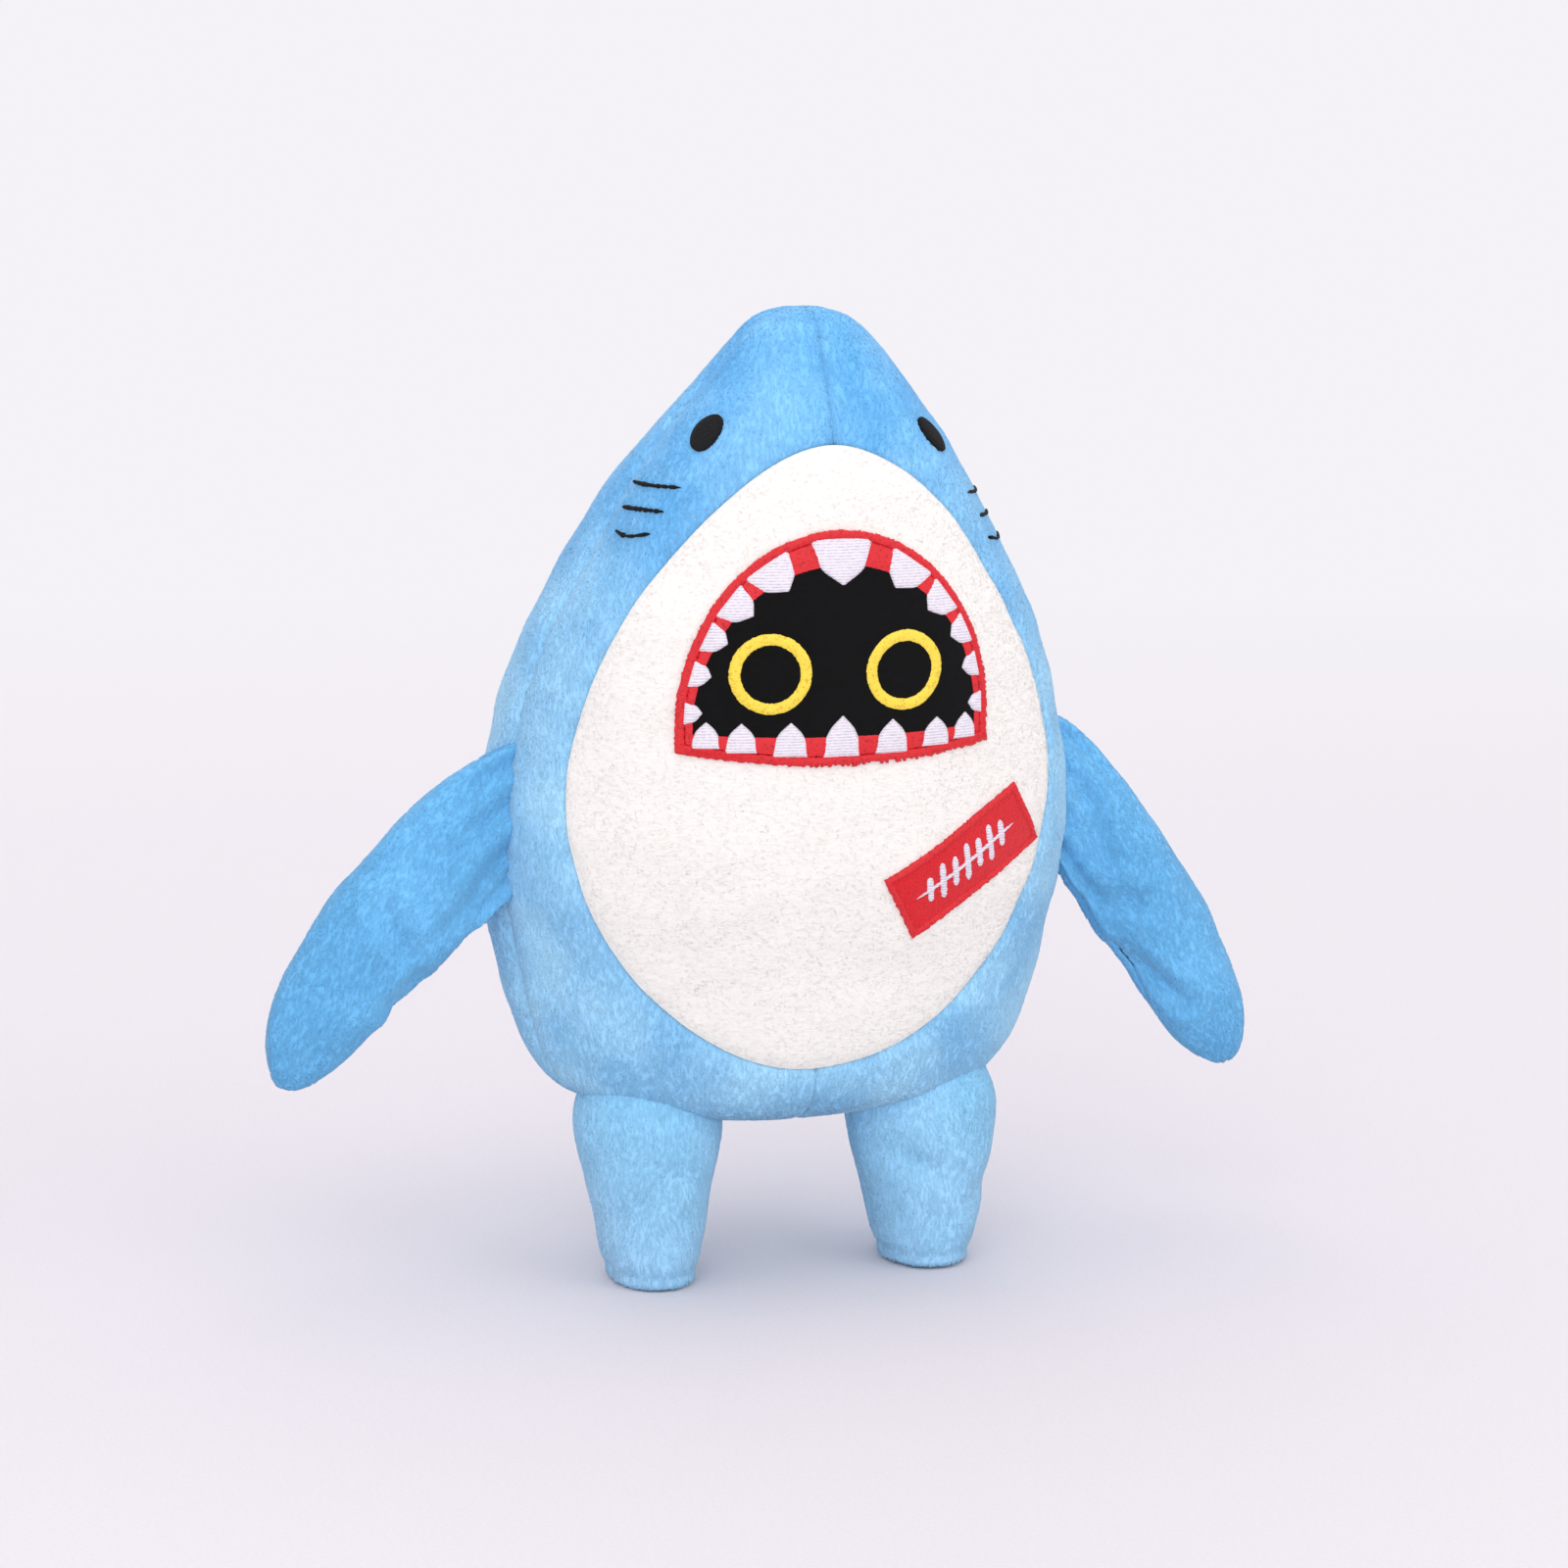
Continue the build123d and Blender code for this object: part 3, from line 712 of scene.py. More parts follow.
def pressed_felt(name, hex_code, shade_hex):
    """Pressed polyester felt: dull, with fine tangled fibres about 0.4 mm apart."""
    material, tree, place, _ = new_material(name)
    inputs = {"Vector": place, "Scale": 2400.0, "Detail": 4.0}
    fibres = add_node(tree, "ShaderNodeTexNoise", inputs)
    factor = add_node(tree, "ShaderNodeMapRange", (fibres, 0.35, 0.6))
    finish_material(
        tree, factor, shade_hex, hex_code, fibres, 0.0003,
        Roughness=0.95, Sheen_Weight=0.2, Specular_IOR_Level=0.2,
    )
    return material


def polyester_fibre(name, hex_code, shade_hex):
    """Loose polyester fibre fill: white, dull and cloudy, in clouds about 7 mm wide."""
    material, tree, place, _ = new_material(name)
    clouds = add_node(tree, "ShaderNodeTexNoise", {"Vector": place, "Scale": 140.0, "Detail": 6.0})
    factor = add_node(tree, "ShaderNodeMapRange", (clouds, 0.3, 0.7))
    finish_material(
        tree, factor, shade_hex, hex_code, clouds, 0.003, Roughness=1.0, Sheen_Weight=0.3
    )
    return material


made_materials = {}


def finish_of(name):
    """The material of a finish, made once."""
    if name not in made_materials:
        tints = bpy.context.scene.plush_shark_colours
        maker, title, *details = {
            # The second colours of the body's and the legs' pile are painted light, lighter low
            # down.
            "blue_plush": (
                knitted_minky, "blue minky", tints.blue, tints.painted_lit_blue, (0.17, 0.24)
            ),
            "fin_plush": (
                knitted_minky, "blue minky of the fins", tints.fin, "#84CDF9", (-1.0, -0.9)
            ),
            "leg_plush": (
                knitted_minky, "blue minky of the legs", tints.leg, "#ABDCFD", (0.02, 0.06)
            ),
            "white_plush": (sheared_velboa, "white velboa", tints.white, "#F1EFE8"),
            "black_velboa": (sheared_velboa, "black velboa", tints.black, "#020203", 0.02),
            "red_felt": (pressed_felt, "red felt", tints.felt, "#C41F28"),
            "red_thread": (satin_thread, "red satin thread", tints.red, "#A81622"),
            "white_thread": (satin_thread, "white satin thread", tints.tooth, "#C9C3D2", True),
            "yellow_thread": (satin_thread, "yellow satin thread", tints.yellow, "#DDB226"),
            "black_thread": (satin_thread, "black satin thread", tints.ink, "#030304", False, 0.1),
            "blue_thread": (satin_thread, "blue sewing thread", tints.blue, "#2E7FC0"),
            "stuffing": (polyester_fibre, "polyester fibre", tints.fibre, "#DAD8D2"),
        }[name]
        made_materials[name] = maker(title, *details)
    return made_materials[name]


# ---- stitched shapes on the front ----

per_thread = 4   # steps along a band for each of its threads
below_cloth = -0.6   # height of a stitched shape's underside


def around(outline, count):
    """A closed outline, x and z, walked round in equal steps."""
    loop = np.vstack([outline, outline[:1]])
    way = way_along(loop)
    return at_ways(np.linspace(0, way[-1], count, endpoint=False), way, loop)


def filled(outline, base, crown, rings=7, count=90):
    """A filled shape on the front: rings that shrink from its outline to its middle.
    Its height is base + crown (1 - r^5), r from 0 in the middle to 1 at the outline,
    and its sides and underside go below the cloth.
    """
    edge = around(np.asarray(outline, float), count)
    middle = edge.mean(axis=0)
    share = np.concatenate([np.sqrt(np.linspace(0, 1, rings)), [1.0, 0.0]])
    rise = np.concatenate([base + crown * (1 - share[:rings] ** 5), [below_cloth] * 2])
    at = middle + share[:, None, None] * (edge - middle)
    return closed_form(on_front(at[..., 0], at[..., 1], rise[:, None]))


def satin_band(inner, outer, base, crown, ragged, pitch, seed, fringe=0.0):
    """A closed band of satin stitch between two outlines with matching points.

    Each thread runs across the band: the height over it is base + crown (sin(pi c))^0.6
    (0.72 + 0.28 |sin(pi s / pitch)|), c across and s along.  Each thread's outer
    end is longer or shorter by up to ragged, and by up to fringe where it hangs down.
    """
    rng = np.random.default_rng(seed)
    way = way_along((inner + outer) / 2)
    count = max(int(way[-1] / pitch) * per_thread, 16)
    at = np.linspace(0, way[-1], count + 1)[:-1]
    a, b = at_ways(at, way, inner), at_ways(at, way, outer)
    thread = np.arange(count) // per_thread
    across = b - a
    wide = np.linalg.norm(across, axis=1)
    hang = np.clip(-across[:, 1] / wide, 0, 1) if fringe else 0
    loose = ragged + (fringe - ragged) * hang
    jitter = rng.uniform(-0.3, 1.0, thread.max() + 1)[thread] * loose
    jitter_in = (rng.uniform(-0.6, 0.6, thread.max() + 1) * min(ragged, 0.2))[thread]
    b = b + across * (jitter / wide)[:, None]
    a = a - across * (jitter_in / wide)[:, None]
    ridge = np.abs(np.sin(np.pi * (np.arange(count) + 0.5) / per_thread))
    c = np.array([0.0, 0.06, 0.2, 0.4, 0.6, 0.8, 0.94, 1.0])
    top = base + crown * np.sin(np.pi * c)[:, None] ** 0.6 * (0.72 + 0.28 * ridge)
    place = a + c[:, None, None] * (b - a)
    place = np.concatenate([place, place[::-1][[0, -1]]])
    rise = np.concatenate([top, np.full((2, count), below_cloth)])
    points = on_front(place[..., 0], place[..., 1], rise)
    rows = len(points)
    # The band closes round its section too: the row after the last is the first.
    faces = net(rows + 1, count, closed=True) % (rows * count)
    points = points.reshape(-1, 3)
    # lowest where two threads meet: painted shade there
    tone_and_shade = np.broadcast_to(0.35 + 0.65 * ridge, (rows, count)).ravel()
    return with_tone_and_shade(points, outward(points, faces), tone_and_shade)


def stitched_line(path, width, crown, pitch, base=0.1, ragged=0.15, seed=1, surface=on_front):
    """A narrow line of satin stitch along a path, tapered to nothing at both ends.

    Its half width is width / 2 (1 - |2t - 1|^8), t along the path, and its section
    is a half round that goes below the cloth.
    """
    rng = np.random.default_rng(seed)
    path = np.asarray(path, float)
    way = way_along(path)
    count = max(int(way[-1] / pitch) * per_thread, 12)
    at = np.linspace(0, way[-1], count)
    line = at_ways(at, way, path)
    ahead = unit(np.gradient(line, axis=0))
    side = np.stack([-ahead[:, 1], ahead[:, 0]], -1)
    taper = np.maximum(1 - np.abs(2 * at / way[-1] - 1) ** 8, 0)
    thread = np.arange(count) // per_thread
    loose = (rng.uniform(-1, 1, count // per_thread + 1) * ragged)[thread]
    half = width / 2 * taper + loose * taper
    ridge = 0.75 + 0.25 * np.abs(np.sin(np.pi * (np.arange(count) + 0.5) / per_thread))
    turn = np.linspace(0, np.pi, 7)[:, None]
    place = line + side * (np.cos(turn) * half)[..., None]
    rise = base + crown * np.sin(turn) * ridge * taper - 0.7 * (1 - np.sin(turn)) ** 4
    place = np.concatenate([place, line[None]])
    rise = np.concatenate([rise, np.full((1, count), -0.8)])
    return closed_form(surface(place[..., 0], place[..., 1], rise).swapaxes(0, 1), tone_and_shade=0.8)


# ---- the stage ----

backdrop = "#F4F2F7"
camera_turn, camera_rise = np.radians(-17.0), np.radians(9.0)
camera_distance = 1.244


class PLUSH_SHARK_OT_stage(bpy.types.Operator):
    """Make the pale floor, the lights, the world and the camera"""

    bl_idname = "plush_shark.stage"
    bl_label = "Stage"

    def execute(self, context):
        """The floor is one surface: a level disc whose rim rises in a quarter circle
        to an upright wall, a profile carried round a full turn.
        """
        tints = context.scene.plush_shark_colours
        bend = np.linspace(0, np.pi / 2, 12)
        out = np.concatenate([[0, 0.4, 1.5], 2.8 + np.sin(bend), [3.8]])
        up = np.concatenate([[0, 0, 0], 1 - np.cos(bend), [2.2]])
        turn = np.linspace(0, 2 * np.pi, 96, endpoint=False)
        out, up = out[:, None], up[:, None]
        points = spread(out * np.cos(turn), out * np.sin(turn), up).reshape(-1, 3)
        faces = net(len(out), len(turn), closed=True, first_pole=True)
        points, faces = used_only(points, faces)
        mesh = bpy.data.meshes.new("floor")
        mesh.from_pydata(points.tolist(), [], faces[:, ::-1].tolist())
        mesh.polygons.foreach_set("use_smooth", np.ones(len(faces), bool))
        floor = bpy.data.objects.new("floor", mesh)
        context.scene.collection.objects.link(floor)
        if mesh.polygons[0].normal.z < 0:
            mesh.flip_normals()
        material, tree, place, _ = new_material("matt backdrop paper")
        grain = add_node(tree, "ShaderNodeTexNoise", {"Vector": place, "Scale": 900.0})
        factor = add_node(tree, "ShaderNodeMapRange", (grain, 0.3, 0.7))
        finish_material(
            tree, factor, "#DBD7DA", tints.paper, grain, 0.00005,
            Roughness=0.95, Specular_IOR_Level=0.1,
        )
        # Away from the toy the paper is seen evenly lit, whatever the lamps do there.
        output = next(each for each in tree.nodes if each.type == "OUTPUT_MATERIAL")
        paper = next(each for each in tree.nodes if each.type == "BSDF_PRINCIPLED")
        away = add_node(tree, "ShaderNodeVectorMath", [place], operation="LENGTH").outputs["Value"]
        away = add_node(tree, "ShaderNodeMapRange", (away, 0.35, 1.7))
        rays = add_node(tree, "ShaderNodeLightPath").outputs["Is Camera Ray"]
        even = add_node(tree, "ShaderNodeMath", (away, rays), operation="MULTIPLY")
        glow = add_node(tree, "ShaderNodeEmission", (linear(backdrop), 1.0))
        both = add_node(tree, "ShaderNodeMixShader", (even, paper, glow))
        tree.links.new(both.outputs[0], output.inputs["Surface"])
        mesh.materials.append(material)
        floor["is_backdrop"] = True

        world = bpy.data.worlds.new("studio")
        context.scene.world = world
        world.use_nodes = True
        sky = world.node_tree
        sky.nodes.clear()
        rays = add_node(sky, "ShaderNodeLightPath").outputs
        seen = rays["Is Camera Ray"]
        for ray in ("Is Glossy Ray", "Is Transmission Ray"):
            seen = add_node(sky, "ShaderNodeMath", (seen, rays[ray]), operation="MAXIMUM")
        plain = add_node(sky, "ShaderNodeBackground", (linear(backdrop), 1.24))
        shown = add_node(sky, "ShaderNodeBackground", (linear(backdrop), 1.0))
        both = add_node(sky, "ShaderNodeMixShader", (seen, plain, shown))
        add_node(sky, "ShaderNodeOutputWorld", {"Surface": both})

        target = Vector((0, axis_y / 1000, 0.13))
        for name, place, wide, watts in (
            ("key light", (-0.9, -1.7, 1.5), 1.1, 6.5),
            ("fill light", (1.3, -1.5, 0.9), 1.3, 5.0),
            ("top light", (0.1, 0.3, 2.1), 1.6, 3.4),
            ("low light", (-0.5, -1.6, 0.3), 1.0, 5.0),
            ("back light", (0.2, 1.9, 1.2), 1.2, 4.6),
        ):
            lamp = bpy.data.lights.new(name, "AREA")
            lamp.energy, lamp.size = watts, wide
            holder = bpy.data.objects.new(name, lamp)
            holder.location = place
            holder.rotation_euler = (target - Vector(place)).to_track_quat("-Z", "Y").to_euler()
            context.scene.collection.objects.link(holder)

        eye = bpy.data.cameras.new("camera")
        eye.lens, eye.sensor_width = 100.0, 36.0
        camera = bpy.data.objects.new("camera", eye)
        turn, rise = camera_turn, camera_rise
        aim = Vector((0.001, axis_y / 1000, 0.140))
        back = Vector((np.sin(turn) * np.cos(rise), -np.cos(turn) * np.cos(rise), np.sin(rise)))
        camera.location = aim + back * camera_distance
        camera.rotation_euler = (-back).to_track_quat("-Z", "Y").to_euler()
        context.scene.collection.objects.link(camera)
        context.scene.camera = camera
        context.scene.view_settings.view_transform = "Standard"
        return {"FINISHED"}


# ---- body covers ----


class PLUSH_SHARK_OT_belly(bpy.types.Operator):
    """Make the white belly panel"""

    bl_idname = "plush_shark.belly"
    bl_label = "Belly panel"

    def execute(self, context):
        """A polar grid in the unrolled front, from its middle to the egg's outline."""
        middle, (egg, _) = panel_polar()
        turn = np.linspace(-np.pi, np.pi, 260, endpoint=False)
        share = np.linspace(0, 1, 64)[:, None]
        radius = np.interp(np.abs(turn), *egg)
        far = share * radius
        theta, lift = rolled_up(far * np.sin(turn), middle + far * np.cos(turn))
        points = body_at(theta, lift).reshape(-1, 3)
        run = np.broadcast_to(turn * 80, far.shape)
        dip = seam_dip((1 - share) * radius, run, 0.7 * size_of("seam_depth"), tug=0.1).ravel()
        faces = net(len(share), len(turn), closed=True, first_pole=True)
        surface = cover(
            points, faces, body_core, dip, 11,
            long=size_of("belly_pile_length"), spacing=0.9, unrest=0.9,
        )
        new_piece("belly_cover", surface, "white_plush", ["belly_panel"])
        return {"FINISHED"}


class PLUSH_SHARK_OT_body_fronts(bpy.types.Operator):
    """Make the two blue panels on the front of the body"""

    bl_idname = "plush_shark.body_fronts"
    bl_label = "Front body panels"

    def execute(self, context):
        """Strips in the unrolled front that run from the belly's edge to the side seam,
        one for each angle from straight up to straight down.
        """
        depth = size_of("seam_depth")
        middle, (egg, seam) = panel_polar()
        turn = np.linspace(0, np.pi, 170)
        share = np.linspace(0, 1, 44)[:, None]
        inner, outer = np.interp(turn, *egg), np.interp(turn, *seam)
        wide = outer - inner
        far = inner + share * wide
        across, up = far * np.sin(turn), middle + far * np.cos(turn)
        dip = seam_dip(share * wide, turn * 80, depth, tug=0.1)
        dip = dip + seam_dip((1 - share) * wide, up, 0.8 * depth)
        dip = dip + seam_dip(np.abs(across), up, 0.4 * depth, 1.4)
        dip = dip * smooth_step(0.3 + (ladder_up[-1] - up) / 16)
        # painted shade along the seams: the middle seam, the belly's edge and the side seam
        seam_shade = 0.6 * np.exp(-((across / 0.9) ** 2)) + 0.35 * np.exp(-((share * wide / 1.0) ** 2))
        seam_shade = seam_shade + 0.4 * np.exp(-(((1 - share) * wide / 1.0) ** 2))
        for name, sign in (("left", 1), ("right", -1)):
            theta, lift = rolled_up(sign * across, up)
            points = body_at(theta, lift).reshape(-1, 3)
            faces = net(len(share), len(turn))
            surface = cover(
                points, faces, body_core, dip.ravel(), 21 + sign, seam_shade=seam_shade.ravel()
            )
            new_piece(f"body_front_cover_{name}", surface, "blue_plush", [f"body_front_{name}"])
        return {"FINISHED"}


class PLUSH_SHARK_OT_body_backs(bpy.types.Operator):
    """Make the two blue panels on the back of the body"""

    bl_idname = "plush_shark.body_backs"
    bl_label = "Back body panels"

    def execute(self, context):
        """A grid of angle, from the side seam to the middle of the back, and lift."""
        depth = size_of("seam_depth")
        lift = np.linspace(0, 1, 150)[:, None]
        share = np.linspace(0, 1, 70)
        start = side_seam_angle(lift)
        wide = np.interp(lift, ladder, ladder_wide)
        edge = start - 0.8 / np.maximum(wide, 8)   # a hem that lies under the front panel
        theta = edge + share * (np.pi - edge)
        up = np.interp(lift, ladder, ladder_up)
        from_side, from_back = (theta - start) * wide, (np.pi - theta) * wide
        dip = seam_dip(from_side, up, 0.8 * depth) + seam_dip(from_back, up, 0.8 * depth)
        dip = dip * smooth_step(0.3 + np.minimum(up, ladder_up[-1] - up) / 16)
        # painted shade along the side seam and the middle of the back
        seam_shade = 0.4 * np.exp(-(from_side**2)) + 0.5 * np.exp(-(from_back**2))
        for name, sign in (("left", 1), ("right", -1)):
            points = body_at(sign * theta, np.broadcast_to(lift, theta.shape)).reshape(-1, 3)
            faces = net(len(lift), len(share), first_pole=True, last_pole=True)
            surface = cover(
                points, faces, body_core, dip.ravel(), 31 + sign,
                seam_shade=seam_shade.ravel(), spacing=size_of("pile_spacing") * 1.1,
            )
            new_piece(f"body_back_cover_{name}", surface, "blue_plush", [f"body_back_{name}"])
        return {"FINISHED"}


class PLUSH_SHARK_OT_body_stuffing(bpy.types.Operator):
    """Make the fibre that fills the body"""

    bl_idname = "plush_shark.body_stuffing"
    bl_label = "Body stuffing"

    def execute(self, context):
        """The body's form drawn in by 6 mm all round, with cloudy lumps 1 mm high."""
        lift = np.linspace(0, 1, 70)[:, None]
        theta = np.linspace(-np.pi, np.pi, 90, endpoint=False)
        points, faces, normals, _ = closed_form(body_at(*np.broadcast_arrays(theta, lift)))
        points = points + normals * (lumps(points, 14, 8) + stuffed(points) - 6)[:, None]
        surface = with_tone_and_shade(points, faces, 1.0)
        new_piece("body_fibre", surface, "stuffing", ["body_stuffing"])
        return {"FINISHED"}


# ---- fins, tail and legs ----


def fin_at(root, out, along, side, reach, drop, rows, u, w):
    """Points of a stuffed fin, in millimetres.

    u goes from the root, 0, to the tip, 1, and the share of the reach is sin(pi u / 2).
    w is an angle from -90 degrees at the lower edge to 90 at the upper edge; the
    section is h sin(w) along the seam's direction and t cos(w) to the side.  rows
    holds share of reach, share of drop, h and t.
    """
    share = np.sin(np.pi * u / 2)
    knots = np.arcsin(np.clip(rows[:, 0], -1, 1)) * 2 / np.pi
    down, tall, thick = (smooth_run(u, knots, rows[:, i]) for i in (1, 2, 3))
    centre = root + out * (share * reach)[..., None] - along * (down * drop)[..., None]
    return centre + along * (tall * np.sin(w))[..., None] + side * (thick * np.cos(w))[..., None]


def creased(points, lines, strength):
    """How far folds draw the cover in: each line has two ends in x and z, a depth and
    a width, and dips by depth exp(-(distance / width)^2) beside low ridges.
    strength is the share of that depth that a panel gets.
    """
    total = np.zeros(len(points))
    for start, end, depth, width in lines:
        a, b = np.array(start, float), np.array(end, float)
        flat = points[:, [0, 2]]
        share = np.clip(((flat - a) @ (b - a)) / ((b - a) @ (b - a)), 0, 1)
        away = np.linalg.norm(flat - (a + share[:, None] * (b - a)), axis=1)
        ridge = 0.45 * np.exp(-(((away - 2.1 * width) / width) ** 2))
        fold = np.exp(-((away / width) ** 2)) - ridge
        total += depth * fold * (0.35 + 0.65 * np.sin(np.pi * np.clip(share, 0.12, 0.88)))
    return total * strength


def fin_panels(title, node, halves, hinge, out, along, reach, drop, rows, rings, seed, comb,
               lines=()):
    """The two covers and the stuffing of one fin.

    The first half faces away from along x out, with out the way the fin points and
    along the way its root seam runs.  The stuffing's half thickness is 0.72 t - 3 mm.
    """
    root, _ = hinge_place(hinge)
    out, along = unit(np.array(out, float)), unit(np.array(along, float))
    rows = np.array(rows, float)
    start, end = (Vector((root + out * far) / 1000) for far in (-3.0, 15.0))
    between = ("body", hinges[hinge]["child"], start, end)
    u = np.linspace(np.arcsin(rows[0, 0]) * 2 / np.pi, 1, rings[0])[:, None]
    w = np.linspace(-np.pi / 2, np.pi / 2, rings[1])
    uu, ww = np.broadcast_arrays(u, w)
    edge = (np.pi / 2 - np.abs(ww)) * smooth_run(uu, [0, 1], [24, 5])
    run = np.sin(np.pi * uu / 2) * reach * 1.3
    dip = seam_dip(edge, run, 0.55 * size_of("seam_depth"), 1.8) * smooth_step((1 - uu) * 6)
    gather = np.exp(-np.maximum(run, 0) / 9) * (1 + np.sin(ww * 11 + seed)) * 0.9
    for index, half in enumerate(halves):
        side = np.cross(along, out) * (1 if index else -1)
        points = fin_at(root, out, along, side, reach, drop, rows, uu, ww).reshape(-1, 3)
        folds = creased(points, lines, 0.4 if half == "back" else 1.0)
        faces = net(*uu.shape, last_pole=True)
        # a point behind the panel, which is faced away from it
        middle = root + out * reach * 0.5 - along * drop * 0.5 - side * 6
        surface = cover(
            points, faces, middle, (dip + gather).ravel() + folds, seed + index, comb, wall=0.8
        )
        new_piece(
            f"{title}_cover_{half}", surface, "fin_plush", [f"{node}_{half}"],
            between=between,
        )
    w = np.linspace(-np.pi, np.pi, 40, endpoint=False)
    slim = rows.copy()
    slim[:, 2:] = np.maximum(slim[:, 2:] * 0.72 - 3.0, 0)
    slim[:, 0] = slim[:, 0] * 0.95
    u = np.linspace(np.arcsin(max(rows[0, 0], 0.02)) * 2 / np.pi, 0.94, 30)[:, None]
    uu, ww = np.broadcast_arrays(u, w)
    points = fin_at(root, out, along, np.cross(along, out), reach, drop, slim, uu, ww)
    points[0], points[-1] = points[0].mean(axis=0), points[-1].mean(axis=0)
    new_piece(
        f"{title}_fibre", closed_form(points), "stuffing", [f"{node}_stuffing"],
        between=between,
    )


class PLUSH_SHARK_OT_fins(bpy.types.Operator):
    """Make the two side fins"""

    bl_idname = "plush_shark.fins"
    bl_label = "Side fins"

    def execute(self, context):
        """Each fin is widest at its root, hangs down and narrows to a rounded tip."""
        rows = [
            (-0.20, -0.16, 20.0, 4.5),
            (0.00, 0.00, 26.0, 7.0),
            (0.20, 0.17, 27.5, 10.5),
            (0.41, 0.36, 27.0, 12.5),
            (0.62, 0.575, 26.8, 12.0),
            (0.78, 0.73, 23.6, 10.5),
            (0.90, 0.845, 18.0, 8.5),
            (0.975, 0.905, 11.5, 6.0),
            (1.00, 0.92, 0.0, 0.0),
        ]
        folds = {
            "left": [
                ((101, 87), (122.5, 70), 3.0, 2.8), ((88, 133), (97, 116), 2.2, 3.0),
                ((92, 104), (112, 100), 1.6, 3.2),
            ],
            "right": [
                ((-80, 124), (-102, 101), 2.8, 3.4),
                ((-117, 111), (-108, 92), 2.6, 3.0),
                ((-92, 100), (-114, 84), 3.0, 3.0),
                ((-86, 110), (-96, 92), 2.2, 2.8),
            ],
        }
        for name, sign, reach, drop, breadth, sag in (
            ("left", 1, 58.0, 75.0, 0.98, 2.2), ("right", -1, 61.0, 63.0, 0.96, -1.2),
        ):
            sweep = np.radians(12)
            out = (sign * np.cos(sweep), np.sin(sweep), 0)
            halves = ("front", "back") if sign > 0 else ("back", "front")
            sized = np.array(rows) * (1, 1, breadth, 1)
            sized[:, 1] += sag / drop * np.sin(np.pi * np.clip(sized[:, 0], 0, 1))
            # The fin's direction turns 12 degrees back, and its front half is creased.
            fin_panels(
                f"{name}_fin", f"{name}_fin", halves, f"{name}_fin_flap", out, (0, 0, 1),
                reach, drop, sized, (84, 56), 40 + 3 * sign, (sign * 0.55, 0.1, -1),
                folds[name],
            )
        return {"FINISHED"}


class PLUSH_SHARK_OT_dorsal_fin(bpy.types.Operator):
    """Make the fin on the back"""

    bl_idname = "plush_shark.dorsal_fin"
    bl_label = "Back fin"

    def execute(self, context):
        """A swept triangle with a rounded tip, sewn along the middle of the back."""
        rows = [
            (-0.14, -0.05, 29.0, 3.0),
            (0.00, 0.00, 30.0, 4.0),
            (0.27, 0.10, 25.5, 6.5),
            (0.54, 0.34, 19.5, 6.5),
            (0.80, 0.66, 12.5, 5.2),
            (0.96, 0.92, 6.5, 3.4),
            (1.00, 1.00, 0.0, 0.0),
        ]
        along = hinge_place("dorsal_fin_lean")[1]
        fin_panels(
            "back_fin", "dorsal_fin", ("left", "right"), "dorsal_fin_lean",
            (0, along[2], -along[1]), along, 33.0, 14.0, rows, (50, 44), 60, (0, 0.5, -1),
        )
        return {"FINISHED"}


class PLUSH_SHARK_OT_tail(bpy.types.Operator):
    """Make the tail"""

    bl_idname = "plush_shark.tail"
    bl_label = "Tail"

    def execute(self, context):
        """A short stem that widens to an upright tail fin."""
        rows = [
            (-0.12, -0.08, 13.5, 4.0),
            (0.00, 0.00, 14.0, 4.5),
            (0.28, 0.25, 13.0, 7.0),
            (0.52, 0.50, 14.5, 7.5),
            (0.76, 0.76, 20.0, 6.5),
            (0.93, 0.94, 24.0, 4.8),
            (0.99, 0.99, 20.0, 2.6),
            (1.00, 1.00, 0.0, 0.0),
        ]
        along = hinge_place("tail_wag")[1]
        fin_panels(
            "tail", "tail", ("left", "right"), "tail_wag",
            (0, along[2], -along[1]), along, 43.0, -12.0, rows, (56, 44), 70, (0, 1, -0.4),
        )
        return {"FINISHED"}


